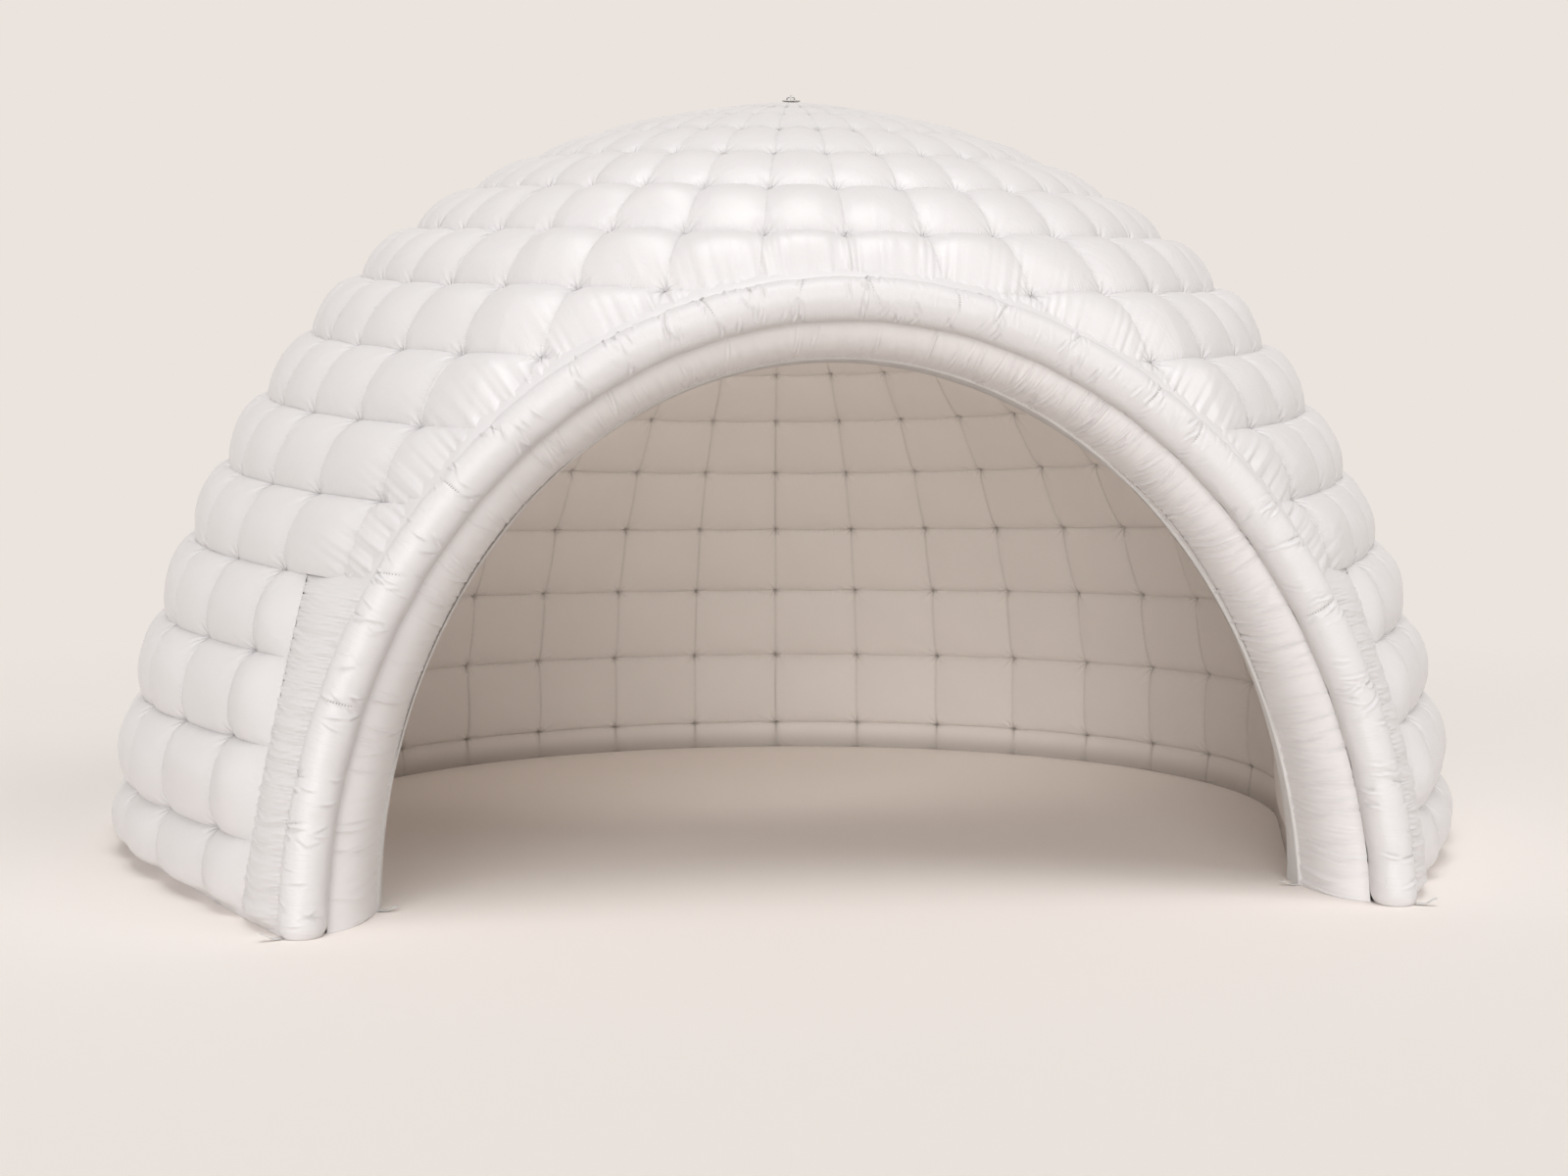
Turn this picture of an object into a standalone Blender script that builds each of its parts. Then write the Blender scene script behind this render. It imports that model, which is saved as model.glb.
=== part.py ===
"""An air-filled dome tent: a quilted double wall, a leaning front arch, a built-in fan and a deflation zip."""

import math

import bmesh
import bpy
from mathutils import Matrix, Vector

# Fits and fabric
GAP = 0.0003
FABRIC = 0.002
REACH_END_ANGLE = math.radians(30.0)
CUT_OVERRUN = 1.0
WELD = 0.00001

# Outer skin
DOME_RADIUS = 2.84
DOME_CENTRE_HEIGHT = 0.425
BASE_ROW_HEIGHT = 0.296
OUTER_ROWS = 13
OUTER_TIER_ROWS = 2
PLAIN_FROM_ROW = 12
OUTER_COLUMNS = 37
OUTER_CROWN_RADIUS = 0.406
BASE_FLARE = 0.06
FLARE_HEIGHT = 0.75
LEAN = math.radians(9.4)
LEAN_FROM = math.radians(-2.0)
LEAN_SPAN = math.radians(38.0)
ROW_TAPER_SHARE = 0.0226
OUTER_PUFF_SHARE = 0.27
OUTER_REACH_ANGLE = math.radians(63.7)
OUTER_REACH_HEIGHT = 1.29
OUTER_REACH_POWER = 1.7

# Inner skin
ROOM_RADIUS = 2.385
ROOM_CENTRE_HEIGHT = 0.35
BASE_BAND_HEIGHT = 0.14
INNER_ROWS = 9
INNER_TIER_ROWS = 3
INNER_COLUMNS = 29
INNER_TURN = math.radians(1.7)
INNER_CROWN_RADIUS = 0.379
INNER_PUFF_SHARE = 0.12
INNER_REACH_ANGLE = math.radians(67.3)
INNER_REACH_HEIGHT = 1.365
INNER_REACH_POWER = 1.2

# Front arch
TUBE_RADIUS = 0.08
ARCH_HALF_WIDTH = 1.862
ARCH_HEIGHT = 2.12
ARCH_FOOT_DEPTH = 2.5375
ARCH_LEAN = 0.1266
ARCH_STEPS = 32
TUBE_SIDES = 12
TUBE_FOOT_HEIGHT = 0.07
TUBE_FOOT_INSET = 0.012
LIP_HALF_WIDTH = 1.662
LIP_HEIGHT = 1.947
LIP_DEPTH = 2.194
LIP_THICKNESS = 0.006
LIP_FRONT = 0.02
LIP_BACK = 0.075
JAMB_BULGE = 0.045
JAMB_SEGMENTS = 3
JAMB_START_SHARE = 0.35
STRIP_SEAM_HALF_WIDTH = 2.11
STRIP_SEAM_DRAW = 0.145
STRIP_HEIGHT = 1.11
STRIP_ROWS = 4
STRIP_TOP_CLEARANCE = 0.004
STRIP_GATHERS = 9
STRIP_GATHER_DEPTH = 0.012
STRIP_SWELL = 0.03
EDGE_TAPER = 0.3

# Sole and webs
SOLE_THICKNESS = 0.003
SOLE_FOOT_SETBACK = 0.03
SOLE_LIP_SETBACK = 0.15
WEB_THICKNESS = 0.002
# Outer seam, lining seam and where the web starts, in degrees round from the front
WEB_SEAMS = ((2, 2, 64.0), (5, 4, 48.0), (8, 6, 34.0), (11, 8, 0.0), (14, 10, 0.0))

# Crown ring
HUB_RADIUS = 0.045
ANCHOR_DISC_THICKNESS = 0.004
ANCHOR_EAR_THICKNESS = 0.006
ANCHOR_EAR_HEIGHT = 0.026
ANCHOR_EAR_WIDTH = 0.02
ANCHOR_HOLE_RADIUS = 0.0055
RING_RADIUS = 0.018
RING_WIRE_RADIUS = 0.0025

# Foot tabs
TAB_LENGTH = 0.07
TAB_WIDTH = 0.03
TAB_THICKNESS = 0.004
TAB_TURN = math.radians(30.0)

# Fan
FAN_HEIGHT = 0.5
FAN_RADIUS = 0.125
FAN_WALL = 0.004
FAN_SIDES = 40
FAN_LENGTH = 0.2
FAN_FLANGE_RADIUS = 0.155
FAN_FLANGE_THICKNESS = 0.008
FAN_FLANGE_STANDOFF = 0.07
FAN_TIP_CLEARANCE = 0.005
FAN_HUB_RADIUS = 0.036
FAN_HUB_LENGTH = 0.04
FAN_BLADES = 7
FAN_BLADE_THICKNESS = 0.003
FAN_BLADE_PITCH = math.radians(35.0)
FAN_BLADE_CHORD = 0.05
MOTOR_RADIUS = 0.045
MOTOR_LENGTH = 0.07
SHAFT_RADIUS = 0.005
SHAFT_CLEARANCE = 0.0004
SPIDER_ARMS = 3
SPIDER_ARM_WIDTH = 0.012
SPIDER_THICKNESS = 0.006
GUARD_RINGS = 3
GUARD_WIRE = 0.004
GUARD_THICKNESS = 0.005
GLAND_RADIUS = 0.009
GLAND_LENGTH = 0.022
SWITCH_WIDTH = 0.022
SWITCH_HEIGHT = 0.014
SWITCH_DEPTH = 0.01
SWITCH_FRAME_WALL = 0.002
SWITCH_THROW = math.radians(8.0)
FAN_FITTING_ANGLE = math.radians(38.0)

# Deflation zip
ZIP_COLUMNS_BEFORE = 18
ZIP_ROWS_BELOW = 2
POCKET_LENGTH = 0.34
POCKET_HEIGHT = 0.1
POCKET_DEPTH = 0.1
POCKET_WALL = 0.003
POCKET_RIM_STANDOFF = 0.012
TEETH_WIDTH = 0.012
TEETH_THICKNESS = 0.004
TAPE_WIDTH = 0.028
TAPE_THICKNESS = 0.002
SLIDER_LENGTH = 0.024
SLIDER_WIDTH = 0.018
SLIDER_THICKNESS = 0.005
SLIDER_LUG = 0.008
PULL_LENGTH = 0.045
PULL_WIDTH = 0.012
PULL_THICKNESS = 0.003
PULL_CLEARANCE = 0.002
ZIP_END = 0.02
FLAP_OVERLAP = 0.012
FLAP_THICKNESS = 0.004

WHITE = (0.86, 0.84, 0.82)
SHADE_WHITE = (0.78, 0.75, 0.71)
DARK = (0.05, 0.05, 0.055)
GREY = (0.32, 0.33, 0.34)
STEEL = (0.55, 0.55, 0.57)


def clear_scene():
    for item in list(bpy.data.objects):
        bpy.data.objects.remove(item, do_unlink=True)


def material(name, colour, roughness, metallic=0.0):
    made = bpy.data.materials.new(name)
    made.use_nodes = True
    shader = made.node_tree.nodes["Principled BSDF"]
    shader.inputs["Base Color"].default_value = (*colour, 1.0)
    shader.inputs["Roughness"].default_value = roughness
    shader.inputs["Metallic"].default_value = metallic
    return made


def smoothstep(value):
    held = min(1.0, max(0.0, value))
    return held * held * (3.0 - 2.0 * held)


def mesh_object(name, bm, colour, roughness=0.45, metallic=0.0, place=None):
    """Makes a node of a bmesh that stands in world coordinates; place is its origin, with its own axes."""
    bmesh.ops.remove_doubles(bm, verts=bm.verts, dist=WELD)
    bmesh.ops.recalc_face_normals(bm, faces=bm.faces)
    if bm.calc_volume(signed=True) < 0.0:
        bmesh.ops.reverse_faces(bm, faces=bm.faces)
    mesh = bpy.data.meshes.new(name)
    bm.to_mesh(mesh)
    bm.free()
    if place is not None:
        mesh.transform(place.inverted())
    mesh.materials.append(material(name, colour, roughness, metallic))
    made = bpy.data.objects.new(name, mesh)
    if place is not None:
        made.matrix_world = place
    bpy.context.scene.collection.objects.link(made)
    return made


def helper_object(name, bm):
    bmesh.ops.recalc_face_normals(bm, faces=bm.faces)
    mesh = bpy.data.meshes.new(name)
    bm.to_mesh(mesh)
    bm.free()
    made = bpy.data.objects.new(name, mesh)
    made.hide_render = True
    made.display_type = "WIRE"
    bpy.context.scene.collection.objects.link(made)
    return made


def cut(target, cutter):
    boolean = target.modifiers.new("cut_" + cutter.name, "BOOLEAN")
    boolean.operation = "DIFFERENCE"
    boolean.solver = "EXACT"
    boolean.object = cutter


def join(target, other):
    boolean = target.modifiers.new("join_" + other.name, "BOOLEAN")
    boolean.operation = "UNION"
    boolean.solver = "EXACT"
    boolean.object = other


def smooth(made, angle=math.radians(40.0)):
    made.data.shade_smooth()
    made.data.set_sharp_from_angle(angle=angle)


class Skin:
    """A near-sphere that draws forward to the arch near the ground; azimuth 0 faces the front, -Y."""

    def __init__(self, radius, centre_height, reach_angle, reach_height, reach_power, leans, flare):
        self.radius = radius
        self.centre_height = centre_height
        self.reach_angle = reach_angle
        self.reach_height = reach_height
        self.reach_power = reach_power
        self.leans = leans
        self.flare = flare
        self.base = -math.asin(centre_height / radius)

    def reach(self, azimuth, height):
        """How much further out than the sphere the skin stands, as a share of the plan radius."""
        away = abs((azimuth + math.pi) % math.tau - math.pi)
        if away >= self.reach_angle:
            return 0.0
        away = max(away, REACH_END_ANGLE)
        fade = math.exp(-((max(height, 0.0) / self.reach_height) ** self.reach_power))
        return (1.0 / math.cos(self.reach_angle - away) - 1.0) * fade

    def point(self, latitude, azimuth, offset):
        radius = self.radius + offset
        x = radius * math.cos(latitude) * math.sin(azimuth)
        y = -radius * math.cos(latitude) * math.cos(azimuth)
        z = radius * math.sin(latitude)
        lean = LEAN * smoothstep((latitude - LEAN_FROM) / LEAN_SPAN) if self.leans else 0.0
        y, z = y * math.cos(lean) - z * math.sin(lean), y * math.sin(lean) + z * math.cos(lean)
        z += self.centre_height
        if latitude <= self.base:
            z = 0.0
        grow = 1.0 + self.reach(math.atan2(x, -y), z)
        grow += self.flare / self.radius * max(0.0, 1.0 - z / FLARE_HEIGHT) ** 2
        return Vector((x * grow, y * grow, z))

    def depth_at(self, x, z):
        """The y of the skin's front side at this x and z."""
        y = -self.radius
        for _ in range(30):
            plan = math.sqrt(max(0.0, self.radius**2 - (z - self.centre_height) ** 2))
            plan *= 1.0 + self.reach(math.atan2(x, -y), z)
            y = -math.sqrt(max(0.0, plan**2 - x**2))
        return y


OUTER = Skin(DOME_RADIUS, DOME_CENTRE_HEIGHT, OUTER_REACH_ANGLE, OUTER_REACH_HEIGHT, OUTER_REACH_POWER, True, BASE_FLARE)
INNER = Skin(ROOM_RADIUS, ROOM_CENTRE_HEIGHT, INNER_REACH_ANGLE, INNER_REACH_HEIGHT, INNER_REACH_POWER, False, 0.0)


def outer_seams():
    """Latitudes of the outer skin's level seams, from the ground to the crown."""
    first = math.asin((BASE_ROW_HEIGHT - DOME_CENTRE_HEIGHT) / DOME_RADIUS)
    last = math.pi / 2 - OUTER_CROWN_RADIUS / DOME_RADIUS
    shares = [1.0 - ROW_TAPER_SHARE * row for row in range(OUTER_ROWS)]
    seams = [OUTER.base, first]
    for share in shares:
        seams.append(seams[-1] + (last - first) * share / sum(shares))
    return seams


def inner_seams():
    """Latitudes of the lining's level seams, from the ground to the crown."""
    first = math.asin((BASE_BAND_HEIGHT - ROOM_CENTRE_HEIGHT) / ROOM_RADIUS)
    last = math.pi / 2 - INNER_CROWN_RADIUS / ROOM_RADIUS
    pitch = (last - first) / INNER_ROWS
    return [INNER.base] + [first + pitch * row for row in range(INNER_ROWS + 1)]


def edge_share(point):
    """How full a quilt cell of the outer skin is: flat at the arch and the strips, full a cell away."""
    if point.y > 0.0:
        return 1.0
    across = math.hypot(point.x / (ARCH_HALF_WIDTH + TUBE_RADIUS), point.z / (ARCH_HEIGHT + TUBE_RADIUS))
    away = (across - 1.0) * ARCH_HALF_WIDTH
    if point.z < STRIP_HEIGHT:
        away = min(away, abs(point.x) - strip_seam_x(point.z))
    return smoothstep(away / EDGE_TAPER)


def quilted_band(skin, seams, columns, turn, puff_share, inward, plain_from=None):
    """One closed band of quilt rows between the first and last seam; each cell rises from four tufts."""
    side = -1.0 if inward else 1.0
    seam_gap = GAP / 2 / skin.radius
    levels = list(seams)
    levels[0] += 0.0 if seams[0] <= skin.base else seam_gap
    levels[-1] -= seam_gap
    azimuths = [turn + column * math.tau / columns for column in range(columns)]
    bm = bmesh.new()
    layers = []
    for offset in (0.0, -side * FABRIC):
        lines = [[bm.verts.new(skin.point(level, azimuth, offset)) for azimuth in azimuths] for level in levels]
        for row, (low, high) in enumerate(zip(seams, seams[1:])):
            middle = (low + high) / 2
            width = skin.radius * math.cos(middle) * math.tau / columns
            puff = side * puff_share * min(width, skin.radius * (high - low))
            for column in range(columns):
                after = (column + 1) % columns
                corners = (lines[row][column], lines[row][after], lines[row + 1][after], lines[row + 1][column])
                if plain_from is not None and low >= plain_from:
                    bm.faces.new(corners)
                    continue
                azimuth = azimuths[column] + math.pi / columns
                rise = puff * edge_share(skin.point(middle, azimuth, 0.0)) if skin.leans else puff
                peak = bm.verts.new(skin.point(middle, azimuth, rise + offset))
                for index in range(4):
                    bm.faces.new((corners[index], corners[(index + 1) % 4], peak))
        layers.append(lines)
    for column in range(columns):
        after = (column + 1) % columns
        for end in (0, -1):
            front, back = layers[0][end], layers[1][end]
            bm.faces.new((front[column], back[column], back[after], front[after]))
    return bm


def strip_seam_x(height):
    """Half the width between the two seams where the quilt ends and the gathered strips start."""
    return STRIP_SEAM_HALF_WIDTH - STRIP_SEAM_DRAW * height / STRIP_HEIGHT


def crown(skin, low, columns, turn, puff_share, inward):
    """The round top panel, with a flat hub in its middle."""
    side = -1.0 if inward else 1.0
    bottom = low + GAP / 2 / skin.radius
    hub = math.pi / 2 - HUB_RADIUS / skin.radius
    puff = side * puff_share * skin.radius * (math.pi / 2 - low) / 4
    bm = bmesh.new()
    rings = []
    for offset in (0.0, -side * FABRIC):
        edge = [
            bm.verts.new(skin.point(bottom, turn + column * math.tau / columns, offset)) for column in range(columns)
        ]
        inner = [
            bm.verts.new(skin.point(hub, turn + column * math.tau / columns, puff + offset))
            for column in range(columns)
        ]
        rings.append((edge, inner))
        bm.faces.new(inner)
        for column in range(columns):
            after = (column + 1) % columns
            bm.faces.new((edge[column], edge[after], inner[after], inner[column]))
    for column in range(columns):
        after = (column + 1) % columns
        bm.faces.new((rings[0][0][column], rings[1][0][column], rings[1][0][after], rings[0][0][after]))
    return bm, puff


def arch_point(share, half_width, height, depth):
    """A point on a half ellipse that stands on the ground and leans back; share 0 is the right foot, 1 the left."""
    angle = math.pi * share
    z = height * math.sin(angle)
    return Vector((half_width * math.cos(angle), -depth + ARCH_LEAN * z, z))


def arch_frame(share):
    """The tube's centre, its outward direction across the arch and its forward direction."""
    here = arch_point(share, ARCH_HALF_WIDTH, ARCH_HEIGHT, ARCH_FOOT_DEPTH)
    step = 1.0 / ARCH_STEPS / 4
    ahead = arch_point(share + step, ARCH_HALF_WIDTH, ARCH_HEIGHT, ARCH_FOOT_DEPTH)
    behind = arch_point(share - step, ARCH_HALF_WIDTH, ARCH_HEIGHT, ARCH_FOOT_DEPTH)
    along = (ahead - behind).normalized()
    forward = Vector((0.0, -1.0, -ARCH_LEAN)).normalized()
    outward = forward.cross(along).normalized()
    if outward.dot(Vector((here.x, 0.0, here.z))) < 0.0:
        outward.negate()
    return here, outward, forward


def ring_loops(bm, rings, close_ends=True):
    """Skins a list of equal rings of points into one closed tube."""
    made = [[bm.verts.new(point) for point in ring] for ring in rings]
    count = len(made[0])
    for first, second in zip(made, made[1:]):
        for index in range(count):
            after = (index + 1) % count
            bm.faces.new((first[index], first[after], second[after], second[index]))
    if close_ends:
        bm.faces.new(made[0])
        bm.faces.new(made[-1])
    return made


def tube_rings(radius, lift, low_extra=0.0):
    """Rings of the arch tube from one foot to the other, that end level at the height lift above the ground."""
    rings = []
    for step in range(ARCH_STEPS + 1):
        here, outward, forward = arch_frame(step / ARCH_STEPS)
        ring = []
        for side in range(TUBE_SIDES):
            angle = math.tau * (side + 0.5) / TUBE_SIDES
            ring.append(here + outward * (radius * math.cos(angle)) + forward * (radius * math.sin(angle)))
        if step in (0, ARCH_STEPS):
            ring = [Vector((p.x, p.y + ARCH_LEAN * (lift - p.z), lift)) for p in ring]
            rings.append(ring)
        elif min(p.z for p in ring) > lift + radius / 4:
            rings.append(ring)
    if low_extra:
        rings.insert(0, [p - Vector((0.0, 0.0, low_extra)) for p in rings[0]])
        rings.append([p - Vector((0.0, 0.0, low_extra)) for p in rings[-1]])
    return rings


def prism(half_width, height, overrun, back=-ARCH_FOOT_DEPTH / 4, lean=0.0):
    """A half-ellipse bar along Y through the front of the dome; its back end may lean with the arch."""
    bm = bmesh.new()
    ends = []
    for y, tilt in ((-DOME_RADIUS - overrun, 0.0), (back, lean)):
        ring = []
        for step in range(ARCH_STEPS + 1):
            angle = math.pi * step / ARCH_STEPS
            z = height * math.sin(angle)
            ring.append(Vector((half_width * math.cos(angle), y + tilt * z, z)))
        ring.append(Vector((-half_width, y - tilt * overrun, -overrun)))
        ring.append(Vector((half_width, y - tilt * overrun, -overrun)))
        ends.append(ring)
    ring_loops(bm, ends)
    return bm


def arch_cutters():
    """Three bodies that take away what the arch, its mouth and the space before it fill, and one for the lip."""
    reach = TUBE_RADIUS + GAP
    front_bar = prism(ARCH_HALF_WIDTH + reach, ARCH_HEIGHT + reach, CUT_OVERRUN, -ARCH_FOOT_DEPTH, ARCH_LEAN)
    front = helper_object("arch_front_cutter", front_bar)
    core = helper_object("arch_core_cutter", prism(ARCH_HALF_WIDTH, ARCH_HEIGHT, CUT_OVERRUN))
    bm = bmesh.new()
    ring_loops(bm, tube_rings(TUBE_RADIUS + GAP, 0.0, CUT_OVERRUN))
    tube = helper_object("arch_tube_cutter", bm)
    lip_edge = LIP_THICKNESS + GAP
    lip = helper_object("lip_cutter", prism(LIP_HALF_WIDTH + lip_edge, LIP_HEIGHT + lip_edge, CUT_OVERRUN))
    return (front, core, tube), lip


def strip_cutter():
    """A wedge in front of the dome that ends the low quilt rows at the strips' seams."""
    bm = bmesh.new()
    top = STRIP_HEIGHT + CUT_OVERRUN
    ends = []
    for y in (-DOME_RADIUS - CUT_OVERRUN, -ARCH_FOOT_DEPTH / 4):
        low = strip_seam_x(-CUT_OVERRUN)
        high = strip_seam_x(top)
        ends.append([Vector(p) for p in ((-low, y, -CUT_OVERRUN), (low, y, -CUT_OVERRUN), (high, y, top), (-high, y, top))])
    ring_loops(bm, ends)
    return helper_object("strip_cutter", bm)


def build_outer(cutters):
    """The outer skin in tiers of quilt rows; the low tiers end at the strips, the next ones at the arch."""
    wedge = strip_cutter()
    seams = outer_seams()
    tiers = []
    for index, row in enumerate(range(0, OUTER_ROWS + 1, OUTER_TIER_ROWS)):
        levels = seams[row : row + OUTER_TIER_ROWS + 1]
        bm = quilted_band(OUTER, levels, OUTER_COLUMNS, 0.0, OUTER_PUFF_SHARE, False, seams[PLAIN_FROM_ROW])
        tier = mesh_object(f"outer_tier_{index + 1}", bm, WHITE)
        front = OUTER.point(seams[row], 0.0, 0.0)
        if row < STRIP_ROWS:
            cut(tier, wedge)
        elif front.z < ARCH_HEIGHT + TUBE_RADIUS:
            for cutter in cutters:
                cut(tier, cutter)
        smooth(tier)
        tiers.append(tier)
    bm, puff = crown(OUTER, seams[-1], OUTER_COLUMNS, 0.0, OUTER_PUFF_SHARE, False)
    smooth(mesh_object("outer_crown", bm, WHITE))
    return tiers, puff


def build_inner(lip):
    """The lining: a low base band, then tiers of quilt rows up to its crown."""
    seams = inner_seams()
    spans = [(0, 1)] + [(row, row + INNER_TIER_ROWS) for row in range(1, INNER_ROWS, INNER_TIER_ROWS)]
    for index, (row, last) in enumerate(spans):
        levels = seams[row : last + 1]
        bm = quilted_band(INNER, levels, INNER_COLUMNS, INNER_TURN, INNER_PUFF_SHARE, True)
        tier = mesh_object("inner_base_band" if row == 0 else f"inner_tier_{index}", bm, SHADE_WHITE)
        if INNER.point(seams[row], 0.0, 0.0).z < LIP_HEIGHT + LIP_THICKNESS:
            cut(tier, lip)
        smooth(tier)
    bm, _ = crown(INNER, seams[-1], INNER_COLUMNS, INNER_TURN, INNER_PUFF_SHARE, True)
    smooth(mesh_object("inner_crown", bm, SHADE_WHITE))


def seam_azimuth(latitude, hand):
    """Where the outer skin at this latitude crosses the strip's seam on one side."""
    low, high = 0.0, math.pi / 2
    for _ in range(40):
        middle = (low + high) / 2
        point = OUTER.point(latitude, middle, 0.0)
        if point.x < strip_seam_x(point.z) - GAP:
            low = middle
        else:
            high = middle
    return hand * low


def build_strip(name, hand, cutters):
    """The plain gathered strip that carries the low quilt rows to the arch tube."""
    seams = outer_seams()
    top = seams[STRIP_ROWS] - STRIP_TOP_CLEARANCE / DOME_RADIUS
    stations = 2 * STRIP_GATHERS
    across = 4
    foot = math.atan2(ARCH_HALF_WIDTH - TUBE_RADIUS / 2, ARCH_FOOT_DEPTH)
    bm = bmesh.new()
    layers = []
    for offset in (0.0, -FABRIC):
        grid = []
        for station in range(stations + 1):
            latitude = OUTER.base + (top - OUTER.base) * station / stations
            edge = seam_azimuth(latitude, hand)
            depth = STRIP_GATHER_DEPTH if station % 2 else 0.0
            if station == stations:
                depth = STRIP_SWELL
            line = []
            for step in range(across + 1):
                share = step / across
                swell = (STRIP_SWELL - depth) * math.sin(math.pi * share)
                azimuth = edge + (hand * foot - edge) * share
                line.append(bm.verts.new(OUTER.point(latitude, azimuth, swell + offset)))
            grid.append(line)
        layers.append(grid)
    sheet_faces(bm, layers)
    strip = mesh_object(name, bm, WHITE)
    for cutter in cutters:
        cut(strip, cutter)
    smooth(strip)
    return strip


def sheet_faces(bm, layers):
    """Closes two equal grids of vertices into one thin sheet."""
    front, back = layers
    rows, columns = len(front), len(front[0])
    for grid in layers:
        for row in range(rows - 1):
            for column in range(columns - 1):
                bm.faces.new(
                    (grid[row][column], grid[row][column + 1], grid[row + 1][column + 1], grid[row + 1][column])
                )
    for row in range(rows - 1):
        for column in (0, columns - 1):
            bm.faces.new((front[row][column], front[row + 1][column], back[row + 1][column], back[row][column]))
    for column in range(columns - 1):
        for row in (0, rows - 1):
            bm.faces.new((front[row][column], front[row][column + 1], back[row][column + 1], back[row][column]))


def build_arch():
    bm = bmesh.new()
    ring_loops(bm, tube_rings(TUBE_RADIUS, TUBE_FOOT_HEIGHT))
    smooth(mesh_object("arch_tube", bm, WHITE, 0.4), math.radians(60.0))
    for name, end in (("arch_foot_right", 0), ("arch_foot_left", -1)):
        bm = bmesh.new()
        top = tube_rings(TUBE_RADIUS, TUBE_FOOT_HEIGHT - GAP)[end]
        middle = tube_rings(TUBE_RADIUS, TUBE_FOOT_INSET)[end]
        base = tube_rings(TUBE_RADIUS - TUBE_FOOT_INSET, 0.0)[end]
        ring_loops(bm, (top, middle, base))
        smooth(mesh_object(name, bm, WHITE, 0.4))


def jamb_section(share):
    """Points across the jamb, from behind the tube to the lip, on its outer face."""
    here, outward, forward = arch_frame(share)
    angle = math.pi + math.asin(JAMB_START_SHARE)
    seat = TUBE_RADIUS + GAP * 2
    start = here + outward * (seat * math.cos(angle)) + forward * (seat * math.sin(angle))
    edge = LIP_THICKNESS + GAP * 2
    end = arch_point(share, LIP_HALF_WIDTH + edge, LIP_HEIGHT + edge, LIP_DEPTH)
    bulge = (forward - outward).normalized()
    points = []
    for step in range(JAMB_SEGMENTS + 1):
        part = step / JAMB_SEGMENTS
        point = start.lerp(end, part) + bulge * (JAMB_BULGE * math.sin(math.pi * part))
        points.append(point)
    return points, outward


def build_jamb():
    bm = bmesh.new()
    layers = []
    for depth in (0.0, FABRIC):
        grid = []
        for step in range(ARCH_STEPS + 1):
            points, outward = jamb_section(step / ARCH_STEPS)
            line = [point + outward * depth for point in points]
            if step in (0, ARCH_STEPS):
                line = [Vector((p.x, p.y - ARCH_LEAN * p.z, 0.0)) for p in line]
            grid.append([bm.verts.new(point) for point in line])
        layers.append(grid)
    sheet_faces(bm, layers)
    smooth(mesh_object("jamb_strip", bm, WHITE))


def build_lip():
    """The bound edge of the opening, wide enough to reach the lining behind it."""
    bm = bmesh.new()
    layers = []
    for edge in (0.0, LIP_THICKNESS):
        grid = []
        for step in range(ARCH_STEPS + 1):
            inner = arch_point(step / ARCH_STEPS, LIP_HALF_WIDTH, LIP_HEIGHT, LIP_DEPTH)
            point = arch_point(step / ARCH_STEPS, LIP_HALF_WIDTH + edge, LIP_HEIGHT + edge, LIP_DEPTH)
            rear = INNER.depth_at(inner.x, inner.z) + LIP_BACK
            front = inner.y - LIP_FRONT
            line = [Vector((point.x, front, point.z)), Vector((point.x, max(rear, inner.y + LIP_FRONT), point.z))]
            grid.append([bm.verts.new(p) for p in line])
        layers.append(grid)
    sheet_faces(bm, layers)
    smooth(mesh_object("lip_binding", bm, WHITE, 0.5))


def base_line(skin, columns, turn, offset, first):
    """Points of a skin's foot on the ground, from the right of the opening round the back to the left."""
    points = [skin.point(skin.base, first, offset)]
    for column in range(columns + 1):
        azimuth = turn + column * math.tau / columns
        if first + GAP < azimuth < math.tau - first - GAP:
            points.append(skin.point(skin.base, azimuth, offset))
    points.append(skin.point(skin.base, -first, offset))
    return points


def build_sole():
    """The flat strip that closes the wall from below, on which the tent stands."""
    outer_start = math.atan2(ARCH_HALF_WIDTH + TUBE_RADIUS + SOLE_FOOT_SETBACK, ARCH_FOOT_DEPTH)
    inner_start = math.atan2(LIP_HALF_WIDTH + SOLE_LIP_SETBACK, LIP_DEPTH)
    outside = base_line(OUTER, OUTER_COLUMNS, 0.0, -FABRIC - GAP, outer_start)
    inside = base_line(INNER, INNER_COLUMNS, INNER_TURN, FABRIC + 3 * GAP, inner_start)
    outline = [Vector((p.x, p.y, 0.0)) for p in outside] + [Vector((p.x, p.y, 0.0)) for p in reversed(inside)]
    bm = bmesh.new()
    face = bm.faces.new([bm.verts.new(point) for point in outline])
    raised = bmesh.ops.extrude_face_region(bm, geom=[face])["geom"]
    lifted = [item for item in raised if isinstance(item, bmesh.types.BMVert)]
    bmesh.ops.translate(bm, verts=lifted, vec=Vector((0.0, 0.0, SOLE_THICKNESS)))
    return mesh_object("sole_strip", bm, SHADE_WHITE, 0.6)


def tuft_turns(columns, turn, start):
    """The azimuths of a skin's tufts, from one side of the opening round the back to the other."""
    turns = [(turn + column * math.tau / columns) % math.tau for column in range(columns)]
    return sorted(angle for angle in turns if start <= angle <= math.tau - start)


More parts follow.
